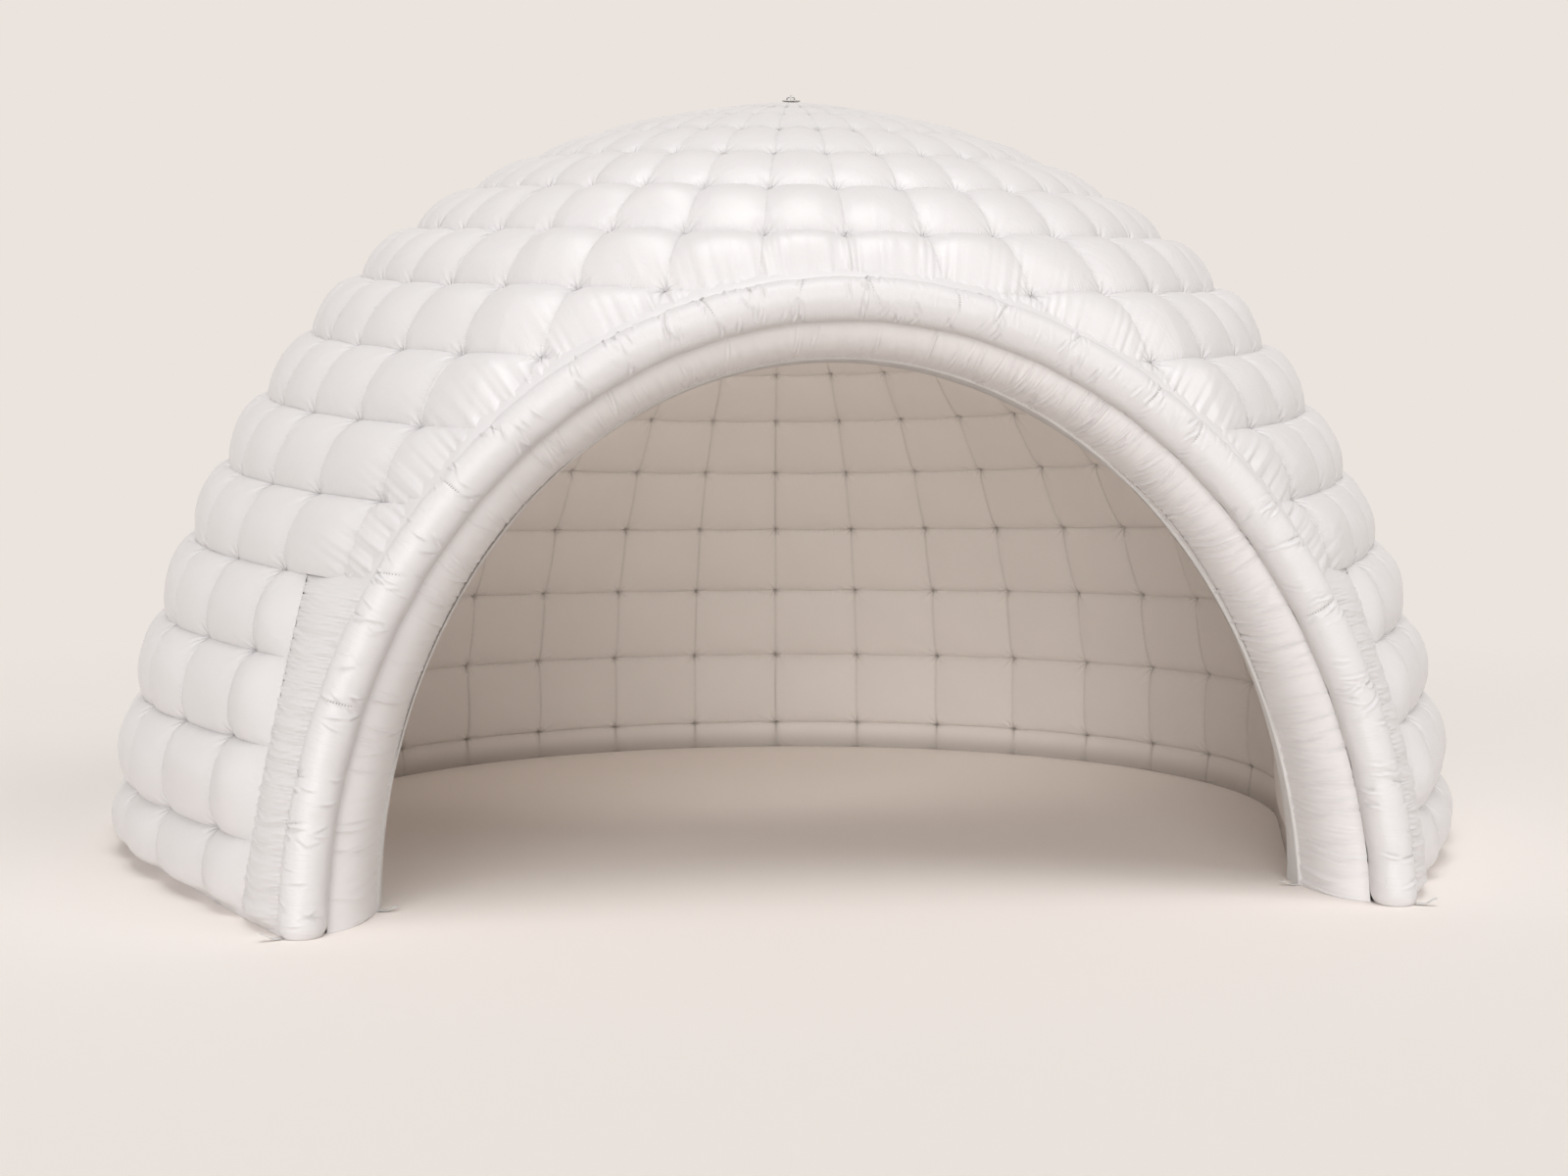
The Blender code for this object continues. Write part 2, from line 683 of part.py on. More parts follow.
def build_web(name, outer_seam, inner_seam, start):
    """A ring of fabric inside the wall that ties a seam of the outer skin to a seam of the lining."""
    far = tuft_turns(OUTER_COLUMNS, 0.0, start)
    near = tuft_turns(INNER_COLUMNS, INNER_TURN, start)
    closes = start == 0.0
    if closes:
        far.append(far[0] + math.tau)
        near.append(near[0] + math.tau)
    bm = bmesh.new()
    edges = []
    for rise in (0.0, WEB_THICKNESS):
        outside = [bm.verts.new(OUTER.point(outer_seam + rise / DOME_RADIUS, a, -FABRIC - GAP)) for a in far]
        inside = [bm.verts.new(INNER.point(inner_seam + rise / ROOM_RADIUS, a, FABRIC + GAP)) for a in near]
        if closes:
            bm.verts.remove(outside[-1])
            bm.verts.remove(inside[-1])
            outside[-1] = outside[0]
            inside[-1] = inside[0]
        step_out = step_in = 0
        while step_out < len(far) - 1 or step_in < len(near) - 1:
            next_out = far[step_out + 1] if step_out < len(far) - 1 else math.inf
            next_in = near[step_in + 1] if step_in < len(near) - 1 else math.inf
            if next_out <= next_in:
                bm.faces.new((outside[step_out], outside[step_out + 1], inside[step_in]))
                step_out += 1
            else:
                bm.faces.new((outside[step_out], inside[step_in + 1], inside[step_in]))
                step_in += 1
        edges.append((outside, inside))
    for low, high in zip(edges[0], edges[1]):
        for index in range(len(low) - 1):
            bm.faces.new((low[index], low[index + 1], high[index + 1], high[index]))
    if not closes:
        for end in (0, -1):
            (low_out, low_in), (high_out, high_in) = edges
            bm.faces.new((low_out[end], low_in[end], high_in[end], high_out[end]))
    return mesh_object(name, bm, SHADE_WHITE, 0.6)


def build_webs():
    outer, inner = outer_seams(), inner_seams()
    for index, (outer_row, inner_row, start) in enumerate(WEB_SEAMS):
        build_web(f"tie_web_{index + 1}", outer[outer_row], inner[inner_row], math.radians(start))


def box(size, matrix):
    bm = bmesh.new()
    bmesh.ops.create_cube(bm, size=1.0)
    bmesh.ops.scale(bm, verts=bm.verts, vec=Vector(size))
    bm.transform(matrix)
    return bm


def cylinder(radius, length, segments, matrix):
    """A solid cylinder on the matrix's Z axis, centred on its origin."""
    bm = bmesh.new()
    bmesh.ops.create_cone(
        bm, cap_ends=True, segments=segments, radius1=radius, radius2=radius, depth=length, matrix=matrix
    )
    return bm


def spun(profile, segments, matrix):
    """A closed ring of revolution about the matrix's Z axis; profile is a closed list of (radius, z)."""
    bm = bmesh.new()
    loops = []
    for step in range(segments):
        angle = math.tau * step / segments
        loops.append([bm.verts.new((r * math.cos(angle), r * math.sin(angle), z)) for r, z in profile])
    count = len(profile)
    for step in range(segments):
        after = (step + 1) % segments
        for index in range(count):
            following = (index + 1) % count
            bm.faces.new(
                (loops[step][index], loops[step][following], loops[after][following], loops[after][index])
            )
    bm.transform(matrix)
    return bm


def build_crown_ring(puff):
    """The fitting at the very top: an eared disc on the crown's hub and a ring that swings in it."""
    hub = math.pi / 2 - HUB_RADIUS / DOME_RADIUS
    height = (DOME_RADIUS + puff) * math.sin(hub) + GAP
    pole = Matrix.Translation((0.0, 0.0, DOME_CENTRE_HEIGHT)) @ Matrix.Rotation(LEAN, 4, "X")
    seat = pole @ Matrix.Translation((0.0, 0.0, height))
    disc_middle = Matrix.Translation((0.0, 0.0, ANCHOR_DISC_THICKNESS / 2))
    radius = HUB_RADIUS - ANCHOR_DISC_THICKNESS
    disc = mesh_object("crown_anchor", cylinder(radius, ANCHOR_DISC_THICKNESS, 32, seat @ disc_middle), DARK, 0.4)
    ear_height = ANCHOR_EAR_HEIGHT + ANCHOR_DISC_THICKNESS / 2
    ear_middle = Matrix.Translation((0.0, 0.0, ANCHOR_DISC_THICKNESS / 2 + ear_height / 2))
    ear_size = (ANCHOR_EAR_THICKNESS, ANCHOR_EAR_WIDTH, ear_height)
    ear = helper_object("crown_ear_helper", box(ear_size, seat @ ear_middle))
    join(disc, ear)
    eye_height = ANCHOR_DISC_THICKNESS + ANCHOR_EAR_HEIGHT - ANCHOR_EAR_WIDTH / 2
    eye = seat @ Matrix.Translation((0.0, 0.0, eye_height))
    across = Matrix.Rotation(math.pi / 2, 4, "Y")
    hole = cylinder(ANCHOR_HOLE_RADIUS, ANCHOR_EAR_THICKNESS * 3, 24, eye @ across)
    cut(disc, helper_object("crown_hole_cutter", hole))
    profile = []
    for step in range(6):
        angle = math.tau * step / 6
        profile.append((RING_RADIUS + RING_WIRE_RADIUS * math.cos(angle), RING_WIRE_RADIUS * math.sin(angle)))
    upright = Matrix.Rotation(math.pi / 2, 4, "X")
    drop = ANCHOR_HOLE_RADIUS - RING_WIRE_RADIUS - 3 * GAP
    above = ANCHOR_EAR_HEIGHT - ANCHOR_EAR_WIDTH / 2
    laid = math.pi / 2 + math.asin((above - RING_WIRE_RADIUS - 2 * GAP) / (2 * RING_RADIUS + drop))
    lay = Matrix.Rotation(-laid, 4, "X")
    ring_place = eye @ lay @ Matrix.Translation((0.0, 0.0, RING_RADIUS + drop)) @ upright
    ring = mesh_object("crown_ring", spun(profile, 20, ring_place), STEEL, 0.35, 1.0, place=eye)
    smooth(ring)
    print("ring swings up and over", round(2 * math.degrees(laid), 1))
    return eye


def tab_matrix(x, y, turn):
    return Matrix.Translation((x, y, TAB_THICKNESS / 2)) @ Matrix.Rotation(turn, 4, "Z")


def build_tabs():
    """Webbing tabs at the four corners of the arch, lying on the ground."""
    foot = arch_point(0.0, ARCH_HALF_WIDTH, ARCH_HEIGHT, ARCH_FOOT_DEPTH)
    lip = arch_point(0.0, LIP_HALF_WIDTH, LIP_HEIGHT, LIP_DEPTH)
    flat = (TUBE_RADIUS - TUBE_FOOT_INSET + TAB_THICKNESS) * math.cos(math.pi / TUBE_SIDES)
    reach = flat + GAP + TAB_LENGTH / 2
    forward = foot.y - reach * math.sin(TAB_TURN)
    for hand, word in ((1.0, "right"), (-1.0, "left")):
        outer_x = hand * (foot.x + reach * math.cos(TAB_TURN))
        bm = box((TAB_LENGTH, TAB_WIDTH, TAB_THICKNESS), tab_matrix(outer_x, forward, -hand * TAB_TURN))
        mesh_object(f"tie_tab_outer_{word}", bm, WHITE, 0.6)
        inner_x = hand * (lip.x - GAP - TAB_LENGTH / 2)
        bm = box((TAB_LENGTH, TAB_WIDTH, TAB_THICKNESS), tab_matrix(inner_x, lip.y, 0.0))
        mesh_object(f"tie_tab_inner_{word}", bm, WHITE, 0.6)


def fan_frame():
    """The fan's axis: Z of this matrix points straight back out of the dome."""
    y = DOME_RADIUS + FAN_FLANGE_STANDOFF
    return Matrix.Translation((0.0, y, FAN_HEIGHT)) @ Matrix.Rotation(-math.pi / 2, 4, "X")


def build_fan(tiers):
    """The built-in fan, through the second row at the back."""
    frame = fan_frame()
    inner = FAN_RADIUS - FAN_WALL
    barrel = (
        (inner, -FAN_LENGTH),
        (FAN_RADIUS, -FAN_LENGTH),
        (FAN_RADIUS, 0.0),
        (FAN_FLANGE_RADIUS, 0.0),
        (FAN_FLANGE_RADIUS, FAN_FLANGE_THICKNESS),
        (inner, FAN_FLANGE_THICKNESS),
    )
    housing = mesh_object("fan_housing", spun(barrel, FAN_SIDES, frame), GREY, 0.5)
    smooth(housing)
    hole_length = FAN_LENGTH * 2
    hole = cylinder(FAN_RADIUS + GAP, hole_length, FAN_SIDES, frame @ Matrix.Translation((0.0, 0.0, -FAN_LENGTH / 2)))
    hole_cutter = helper_object("fan_hole_cutter", hole)
    cut(tiers[0], hole_cutter)

    spider_z = -FAN_LENGTH + SPIDER_THICKNESS
    hub_z = spider_z + SPIDER_THICKNESS / 2
    spider = mesh_object(
        "fan_spider", cylinder(MOTOR_RADIUS, SPIDER_THICKNESS, 32, frame @ Matrix.Translation((0.0, 0.0, hub_z))), GREY
    )
    flat = inner * math.cos(math.pi / FAN_SIDES) - GAP
    arm_from, arm_to = MOTOR_RADIUS / 2, math.sqrt(flat**2 - (SPIDER_ARM_WIDTH / 2) ** 2)
    for arm in range(SPIDER_ARMS):
        turn = Matrix.Rotation(math.tau * arm / SPIDER_ARMS + math.pi / 2, 4, "Z")
        middle = Matrix.Translation(((arm_from + arm_to) / 2, 0.0, hub_z))
        size = (arm_to - arm_from, SPIDER_ARM_WIDTH, SPIDER_THICKNESS)
        join(spider, helper_object(f"fan_arm_helper_{arm}", box(size, frame @ turn @ middle)))

    motor_z = hub_z + SPIDER_THICKNESS / 2 + GAP + MOTOR_LENGTH / 2
    motor_place = frame @ Matrix.Translation((0.0, 0.0, motor_z))
    motor = mesh_object("fan_motor", cylinder(MOTOR_RADIUS, MOTOR_LENGTH, 32, motor_place), DARK, 0.4)
    shaft_length = FAN_HUB_LENGTH + GAP + MOTOR_LENGTH / 2
    shaft_place = frame @ Matrix.Translation((0.0, 0.0, motor_z + shaft_length / 2))
    join(motor, helper_object("fan_shaft_helper", cylinder(SHAFT_RADIUS, shaft_length, 24, shaft_place)))
    smooth(motor)

    wheel_z = motor_z + MOTOR_LENGTH / 2 + GAP + FAN_HUB_LENGTH / 2
    wheel_place = frame @ Matrix.Translation((0.0, 0.0, wheel_z))
    bore = SHAFT_RADIUS + SHAFT_CLEARANCE
    hub_ring = (
        (bore, -FAN_HUB_LENGTH / 2),
        (FAN_HUB_RADIUS, -FAN_HUB_LENGTH / 2),
        (FAN_HUB_RADIUS, FAN_HUB_LENGTH / 2),
        (bore, FAN_HUB_LENGTH / 2),
    )
    wheel = mesh_object("fan_impeller", spun(hub_ring, 24, wheel_place), DARK, 0.45, place=wheel_place)
    tip = inner - FAN_TIP_CLEARANCE
    root = FAN_HUB_RADIUS - FAN_WALL
    for blade in range(FAN_BLADES):
        turn = Matrix.Rotation(math.tau * blade / FAN_BLADES, 4, "Z")
        twist = Matrix.Rotation(FAN_BLADE_PITCH, 4, "X")
        middle = Matrix.Translation(((root + tip) / 2, 0.0, 0.0))
        size = (tip - root, FAN_BLADE_CHORD, FAN_BLADE_THICKNESS)
        join(wheel, helper_object(f"fan_blade_helper_{blade}", box(size, wheel_place @ turn @ middle @ twist)))

    guard_z = FAN_FLANGE_THICKNESS + GAP
    guard = mesh_object(
        "fan_guard",
        spun(
            (
                (inner, guard_z),
                (FAN_FLANGE_RADIUS - GUARD_WIRE, guard_z),
                (FAN_FLANGE_RADIUS - GUARD_WIRE, guard_z + GUARD_THICKNESS),
                (inner, guard_z + GUARD_THICKNESS),
            ),
            FAN_SIDES,
            frame,
        ),
        GREY,
    )
    for ring in range(1, GUARD_RINGS):
        radius = inner * ring / GUARD_RINGS
        profile = (
            (radius - GUARD_WIRE / 2, guard_z),
            (radius + GUARD_WIRE / 2, guard_z),
            (radius + GUARD_WIRE / 2, guard_z + GUARD_THICKNESS),
            (radius - GUARD_WIRE / 2, guard_z + GUARD_THICKNESS),
        )
        join(guard, helper_object(f"fan_guard_ring_helper_{ring}", spun(profile, 18, frame)))
    for spoke in range(SPIDER_ARMS):
        turn = Matrix.Rotation(math.pi * spoke / SPIDER_ARMS, 4, "Z")
        middle = Matrix.Translation((0.0, 0.0, guard_z + GUARD_THICKNESS / 2))
        size = (inner * 2 + GUARD_WIRE * 2, GUARD_WIRE * 2, GUARD_THICKNESS / 2)
        join(guard, helper_object(f"fan_guard_spoke_helper_{spoke}", box(size, frame @ turn @ middle)))
    return build_fan_fittings(frame, inner, wheel_place)


def build_fan_fittings(frame, inner, wheel_place):
    """The cable inlet and the rocker switch on the inside of the fan's flange."""
    middle_radius = (inner + FAN_FLANGE_RADIUS) / 2
    gland_radius = middle_radius + FAN_WALL
    gland_turn = Matrix.Rotation(math.pi / 2 + FAN_FITTING_ANGLE, 4, "Z")
    gland_z = FAN_FLANGE_THICKNESS + GUARD_THICKNESS + GAP * 2 + GLAND_LENGTH / 2
    gland_place = frame @ gland_turn @ Matrix.Translation((gland_radius - GUARD_WIRE, 0.0, gland_z))
    gland = mesh_object("fan_cable_inlet", cylinder(GLAND_RADIUS, GLAND_LENGTH, 24, gland_place), DARK, 0.5)
    smooth(gland)

    switch_turn = Matrix.Rotation(math.pi / 2 - FAN_FITTING_ANGLE, 4, "Z")
    seat_z = FAN_FLANGE_THICKNESS + GUARD_THICKNESS + GAP * 2
    frame_z = seat_z + SWITCH_DEPTH / 2
    switch_place = frame @ switch_turn @ Matrix.Translation((gland_radius - GUARD_WIRE, 0.0, frame_z))
    outer_size = (
        SWITCH_HEIGHT + 2 * SWITCH_FRAME_WALL,
        SWITCH_WIDTH + 2 * SWITCH_FRAME_WALL,
        SWITCH_DEPTH,
    )
    body = mesh_object("fan_switch_frame", box(outer_size, switch_place), DARK, 0.5)
    well_depth = Matrix.Translation((0.0, 0.0, SWITCH_FRAME_WALL))
    well = box((SWITCH_HEIGHT, SWITCH_WIDTH, SWITCH_DEPTH), switch_place @ well_depth)
    cut(body, helper_object("fan_switch_well_cutter", well))
    rocker_size = (
        SWITCH_HEIGHT - 2 * GAP,
        SWITCH_WIDTH - 4 * SWITCH_FRAME_WALL,
        SWITCH_DEPTH / 2,
    )
    pivot = switch_place @ Matrix.Translation((0.0, 0.0, SWITCH_DEPTH / 2))
    tilt = Matrix.Rotation(SWITCH_THROW, 4, "X")
    rocker = mesh_object("fan_switch_rocker", box(rocker_size, pivot @ tilt), SHADE_WHITE, 0.4, place=pivot)
    return wheel_place, pivot, rocker


def zip_frame():
    """The zip pocket's mouth: X runs along the zip, Z points out of the dome."""
    seams = outer_seams()
    low, high = seams[ZIP_ROWS_BELOW], seams[ZIP_ROWS_BELOW + 1]
    middle = (low + high) / 2
    azimuth = (ZIP_COLUMNS_BEFORE + 1 / 2) * math.tau / OUTER_COLUMNS
    width = DOME_RADIUS * math.cos(middle) * math.tau / OUTER_COLUMNS
    height = DOME_RADIUS * (high - low)
    crest = OUTER.point(middle, azimuth, OUTER_PUFF_SHARE * min(width, height))
    out = Vector((crest.x, crest.y, 0.0)).normalized()
    along = Vector((0.0, 0.0, 1.0)).cross(out).normalized()
    up = out.cross(along)
    basis = Matrix((along, up, out)).transposed().to_4x4()
    return Matrix.Translation(crest + out * POCKET_RIM_STANDOFF) @ basis


def build_zip(tiers):
    """The deflation zip in its pocket, with a weather flap."""
    frame = zip_frame()
    pocket_middle = frame @ Matrix.Translation((0.0, 0.0, -POCKET_DEPTH / 2))
    pocket = mesh_object("zip_pocket", box((POCKET_LENGTH, POCKET_HEIGHT, POCKET_DEPTH), pocket_middle), WHITE)
    hollow_size = (POCKET_LENGTH - 2 * POCKET_WALL, POCKET_HEIGHT - 2 * POCKET_WALL, POCKET_DEPTH)
    hollow = box(hollow_size, pocket_middle @ Matrix.Translation((0.0, 0.0, POCKET_WALL)))
    cut(pocket, helper_object("zip_hollow_cutter", hollow))
    window_size = (POCKET_LENGTH + 2 * GAP, POCKET_HEIGHT + 2 * GAP, POCKET_DEPTH * 2)
    cut(tiers[ZIP_ROWS_BELOW // OUTER_TIER_ROWS], helper_object("zip_window_cutter", box(window_size, pocket_middle)))

    floor_z = -POCKET_DEPTH + POCKET_WALL + GAP
    length = hollow_size[0] - 2 * GAP
    tape_z = floor_z + TAPE_THICKNESS / 2
    tape = box((length, TAPE_WIDTH, TAPE_THICKNESS), frame @ Matrix.Translation((0.0, 0.0, tape_z)))
    mesh_object("zip_tape", tape, WHITE, 0.6)
    teeth_z = floor_z + TAPE_THICKNESS + GAP + TEETH_THICKNESS / 2
    teeth = box((length, TEETH_WIDTH, TEETH_THICKNESS), frame @ Matrix.Translation((0.0, 0.0, teeth_z)))
    mesh_object("zip_teeth", teeth, GREY, 0.5)

    slide_start = -length / 2 + ZIP_END + SLIDER_LENGTH / 2
    slider_z = teeth_z + TEETH_THICKNESS / 2 + GAP + SLIDER_THICKNESS / 2
    slider_place = frame @ Matrix.Translation((slide_start, 0.0, slider_z))
    slider = mesh_object(
        "zip_slider", box((SLIDER_LENGTH, SLIDER_WIDTH, SLIDER_THICKNESS), slider_place), STEEL, 0.35, 1.0, slider_place
    )
    lug_z = SLIDER_THICKNESS / 2 + SLIDER_LUG / 2 - GAP
    lug = box((SLIDER_LUG, SLIDER_LUG / 2, SLIDER_LUG), slider_place @ Matrix.Translation((0.0, 0.0, lug_z)))
    join(slider, helper_object("zip_lug_helper", lug))
    lug_bore_z = SLIDER_THICKNESS / 2 + SLIDER_LUG / 2
    pin_axis = Matrix.Rotation(math.pi / 2, 4, "X")
    bore = cylinder(SLIDER_LUG / 4 + GAP, SLIDER_LUG, 16, slider_place @ Matrix.Translation((0.0, 0.0, lug_bore_z)) @ pin_axis)
    cut(slider, helper_object("zip_lug_bore_cutter", bore))

    pivot = slider_place @ Matrix.Translation((0.0, 0.0, lug_bore_z))
    pull_size = (PULL_LENGTH, PULL_WIDTH, PULL_THICKNESS)
    pull_shift = PULL_LENGTH / 2 - PULL_THICKNESS
    pull = mesh_object(
        "zip_pull", box(pull_size, pivot @ Matrix.Translation((pull_shift, 0.0, 0.0))), STEEL, 0.35, 1.0, place=pivot
    )
    slot_length = math.hypot(SLIDER_LUG, SLIDER_LUG) + 4 * GAP
    slot = box((slot_length, SLIDER_LUG / 2 + 2 * GAP, SLIDER_LUG), pivot)
    cut(pull, helper_object("zip_pull_slot_cutter", slot))
    pin = cylinder(SLIDER_LUG / 4, PULL_WIDTH - PULL_THICKNESS, 16, pivot @ pin_axis)
    join(pull, helper_object("zip_pull_pin_helper", pin))

    hinge = frame @ Matrix.Translation((0.0, POCKET_HEIGHT / 2 + FLAP_OVERLAP, GAP + FLAP_THICKNESS / 2))
    drop = POCKET_HEIGHT + 2 * FLAP_OVERLAP
    flap_size = (POCKET_LENGTH + 2 * FLAP_OVERLAP, drop, FLAP_THICKNESS)
    mesh_object("zip_flap", box(flap_size, hinge @ Matrix.Translation((0.0, -drop / 2, 0.0))), WHITE, 0.5, place=hinge)
    # The slider stops where the pull's tip, lying flat, is a clearance short of the pocket's end.
    travel = length / 2 - PULL_CLEARANCE - (PULL_LENGTH - PULL_THICKNESS) - slide_start
    return slider_place, pivot, hinge, travel


def centre_on_ground(root):
    """Puts the origin under the middle of the whole tent."""
    bpy.context.view_layer.update()
    graph = bpy.context.evaluated_depsgraph_get()
    points = []
    for item in root.children:
        if item.hide_render:
            continue
        seen = item.evaluated_get(graph)
        points += [item.matrix_world @ Vector(corner) for corner in seen.bound_box]
    low = Vector([min(p[axis] for p in points) for axis in range(3)])
    high = Vector([max(p[axis] for p in points) for axis in range(3)])
    root.location = (-(low.x + high.x) / 2, -(low.y + high.y) / 2, -low.z)
    bpy.context.view_layer.update()
    print("size", [round(v, 4) for v in high - low], "shift", [round(v, 4) for v in root.location])


def report_frame(name, matrix, root):
    moved = root.matrix_world @ matrix
    axes = [[round(c, 5) for c in moved.col[axis][:3]] for axis in range(3)]
    print(name, "at", [round(c, 5) for c in moved.translation], "x", axes[0], "y", axes[1], "z", axes[2])


def main():
    clear_scene()
    cutters, lip = arch_cutters()
    tiers, puff = build_outer(cutters)
    build_inner(lip)
    build_strip("strip_right", 1.0, cutters)
    build_strip("strip_left", -1.0, cutters)
    build_arch()
    build_jamb()
    build_lip()
    build_sole()
    build_webs()
    eye = build_crown_ring(puff)
    build_tabs()
    wheel, rocker_pivot, _ = build_fan(tiers)
    slider, pull, hinge, travel = build_zip(tiers)

    root = bpy.data.objects.new("tent_origin", None)
    bpy.context.scene.collection.objects.link(root)
    for item in list(bpy.data.objects):
        if item is not root:
            item.parent = root
    centre_on_ground(root)
    for name, matrix in (
        ("ring hinge", eye),
        ("fan wheel", wheel),
        ("rocker", rocker_pivot),
        ("zip slider", slider),
        ("zip pull", pull),
        ("zip flap", hinge),
    ):
        report_frame(name, matrix, root)
    print("slider travel", round(travel, 4))


main()
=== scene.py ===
"""An air-filled dome tent of white coated cloth over its CAD frame, with its floor, lamps and camera."""

import math
from collections import namedtuple
from contextlib import contextmanager
from functools import partial

import bmesh
import bpy
import numpy as np
from mathutils import Matrix, Vector


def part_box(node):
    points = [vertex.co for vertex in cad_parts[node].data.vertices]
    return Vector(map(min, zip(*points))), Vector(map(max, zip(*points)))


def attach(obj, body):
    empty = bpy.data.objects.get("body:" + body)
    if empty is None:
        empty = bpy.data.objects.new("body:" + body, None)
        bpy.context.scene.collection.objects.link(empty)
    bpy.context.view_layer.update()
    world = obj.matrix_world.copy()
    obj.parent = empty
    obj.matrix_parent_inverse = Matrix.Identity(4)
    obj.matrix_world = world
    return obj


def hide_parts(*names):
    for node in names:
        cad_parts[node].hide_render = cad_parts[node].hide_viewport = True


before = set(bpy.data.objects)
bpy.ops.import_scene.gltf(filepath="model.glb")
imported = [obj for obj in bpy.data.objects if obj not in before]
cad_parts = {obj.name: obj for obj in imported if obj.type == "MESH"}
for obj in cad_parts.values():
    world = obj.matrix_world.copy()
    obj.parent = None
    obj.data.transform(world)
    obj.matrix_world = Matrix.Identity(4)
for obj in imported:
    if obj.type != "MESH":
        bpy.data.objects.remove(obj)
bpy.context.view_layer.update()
TENT = "tent"

# The dome's axis stands at x 0 and this y; the fan's rim is a known way behind it.
FAN_RIM_DEPTH = 2.918
AXIS_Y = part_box("fan_housing")[1].y - FAN_RIM_DEPTH

# Outer skin. At the back it follows the solids, where the fan and the zip sit; the front and the sides
# stand a little wider low down, as the photographed skin does.
SHELL_ROWS = 13
SHELL_COLUMNS = 37
TIERS = 7
TIER_ROWS = 2
FRONT_TIERS = (2, 3, 4)
FRONT_COLUMNS = 7
FRONT_OVERLAP = 0.015
STRIP_TOP_ROW = 4
REAR_START = math.radians(105.0)
REAR_FULL = math.radians(150.0)
HUB_RADIUS = 0.045
SHELL_CROWN_RISE = 0.020
ROOM_CROWN_RISE = 0.055

# The outer quilt lies flatter towards the top and round the fan and the zip, and its foot is drawn in.
TOP_FLATTENING = 0.5
TOP_FLAT_FROM = 8.0
TOP_FLAT_SPAN = 4.0
FITTING_REACH = 0.12
FOOT_TUCK = 0.05
FOOT_TUCK_SHARE = 0.45
TUCK_START = math.radians(38.0)
TUCK_SPAN = math.radians(24.0)

# Lining. Its base band puffs less than the rows above and has painted shade, darker towards the ground.
ROOM_ROWS = 9
ROOM_TIERS = 3
ROOM_COLUMNS = 29
ROOM_TURN = math.radians(0.65)
BAND_PUFF = 0.2
BAND_SHADE = 0.8
ROOM_FADE = 0.12

# Nearer the front than this angle a skin draws no further forward; the other angle is a limit, in radians.
REACH_END = math.radians(30.0)
STEEPEST_REACH = 1.4

# Arch
TUBE_RADIUS = 0.08
ARCH_HALF_WIDTH = 1.862
ARCH_HEIGHT = 2.12
ARCH_FOOT_DEPTH = 2.5375
ARCH_LEAN = 0.1266
ARCH_SINK = 0.05
ARCH_LENGTH = 6.26
LIP_HALF_WIDTH = 1.662
LIP_HEIGHT = 1.947
LIP_DEPTH = 2.194
SEAM_HALF_WIDTH = 2.11
SEAM_DRAW = 0.19
SEAM_HEIGHT = 1.11

# How much larger quilted cloth is cut than the plain form under its puffs
QUILT_FULLNESS = 1.05
STRIP_FULLNESS = 1.15
WEBBING_THICKNESS = 0.0022

# A distance, in metres, at which no edge is felt any more
FAR = 9.0

rng = np.random.default_rng(4)


# Shape helpers work on arrays, in metres and radians.


def smoothstep(value):
    held = np.clip(value, 0.0, 1.0)
    return held * held * (3.0 - 2.0 * held)


def ripple(along, length, seed, sharp=1.0):
    """Irregular waves of about this length, from -1 to 1; sharp above 1 narrows the crests."""
    turn = math.tau / length
    phase = 1.4 * np.sin(along * turn / 5.3 + seed) + 0.9 * np.sin(along * turn / 2.7 + 2.1 * seed)
    wave = 0.65 * np.sin(along * turn + phase) + 0.35 * np.sin(along * turn * 1.73 - phase + 3.7 * seed)
    return np.sign(wave) * np.abs(wave) ** sharp


def arc(share):
    """0 at both ends and 1 in the middle."""
    return np.sin(math.pi * share)


def hump(distance, width):
    """1 at no distance, about a third of that at this width."""
    return np.exp(-((distance / width) ** 2))


def decay(distance, length):
    return np.exp(-distance / length)


def fold(line, width, groove, groove_width, depth=1.0):
    """A ridge along a line with a groove beside it."""
    return hump(line, width) - depth * hump(line - groove, groove_width)


def wrapped(angle):
    """The same angle between minus and plus half a turn."""
    return (angle + math.pi) % math.tau - math.pi


def stack(*parts):
    return np.stack(parts, axis=-1)


def between(share, values):
    """What a row of values holds at this share of its way."""
    return np.interp(share * (len(values) - 1), np.arange(len(values)), values)


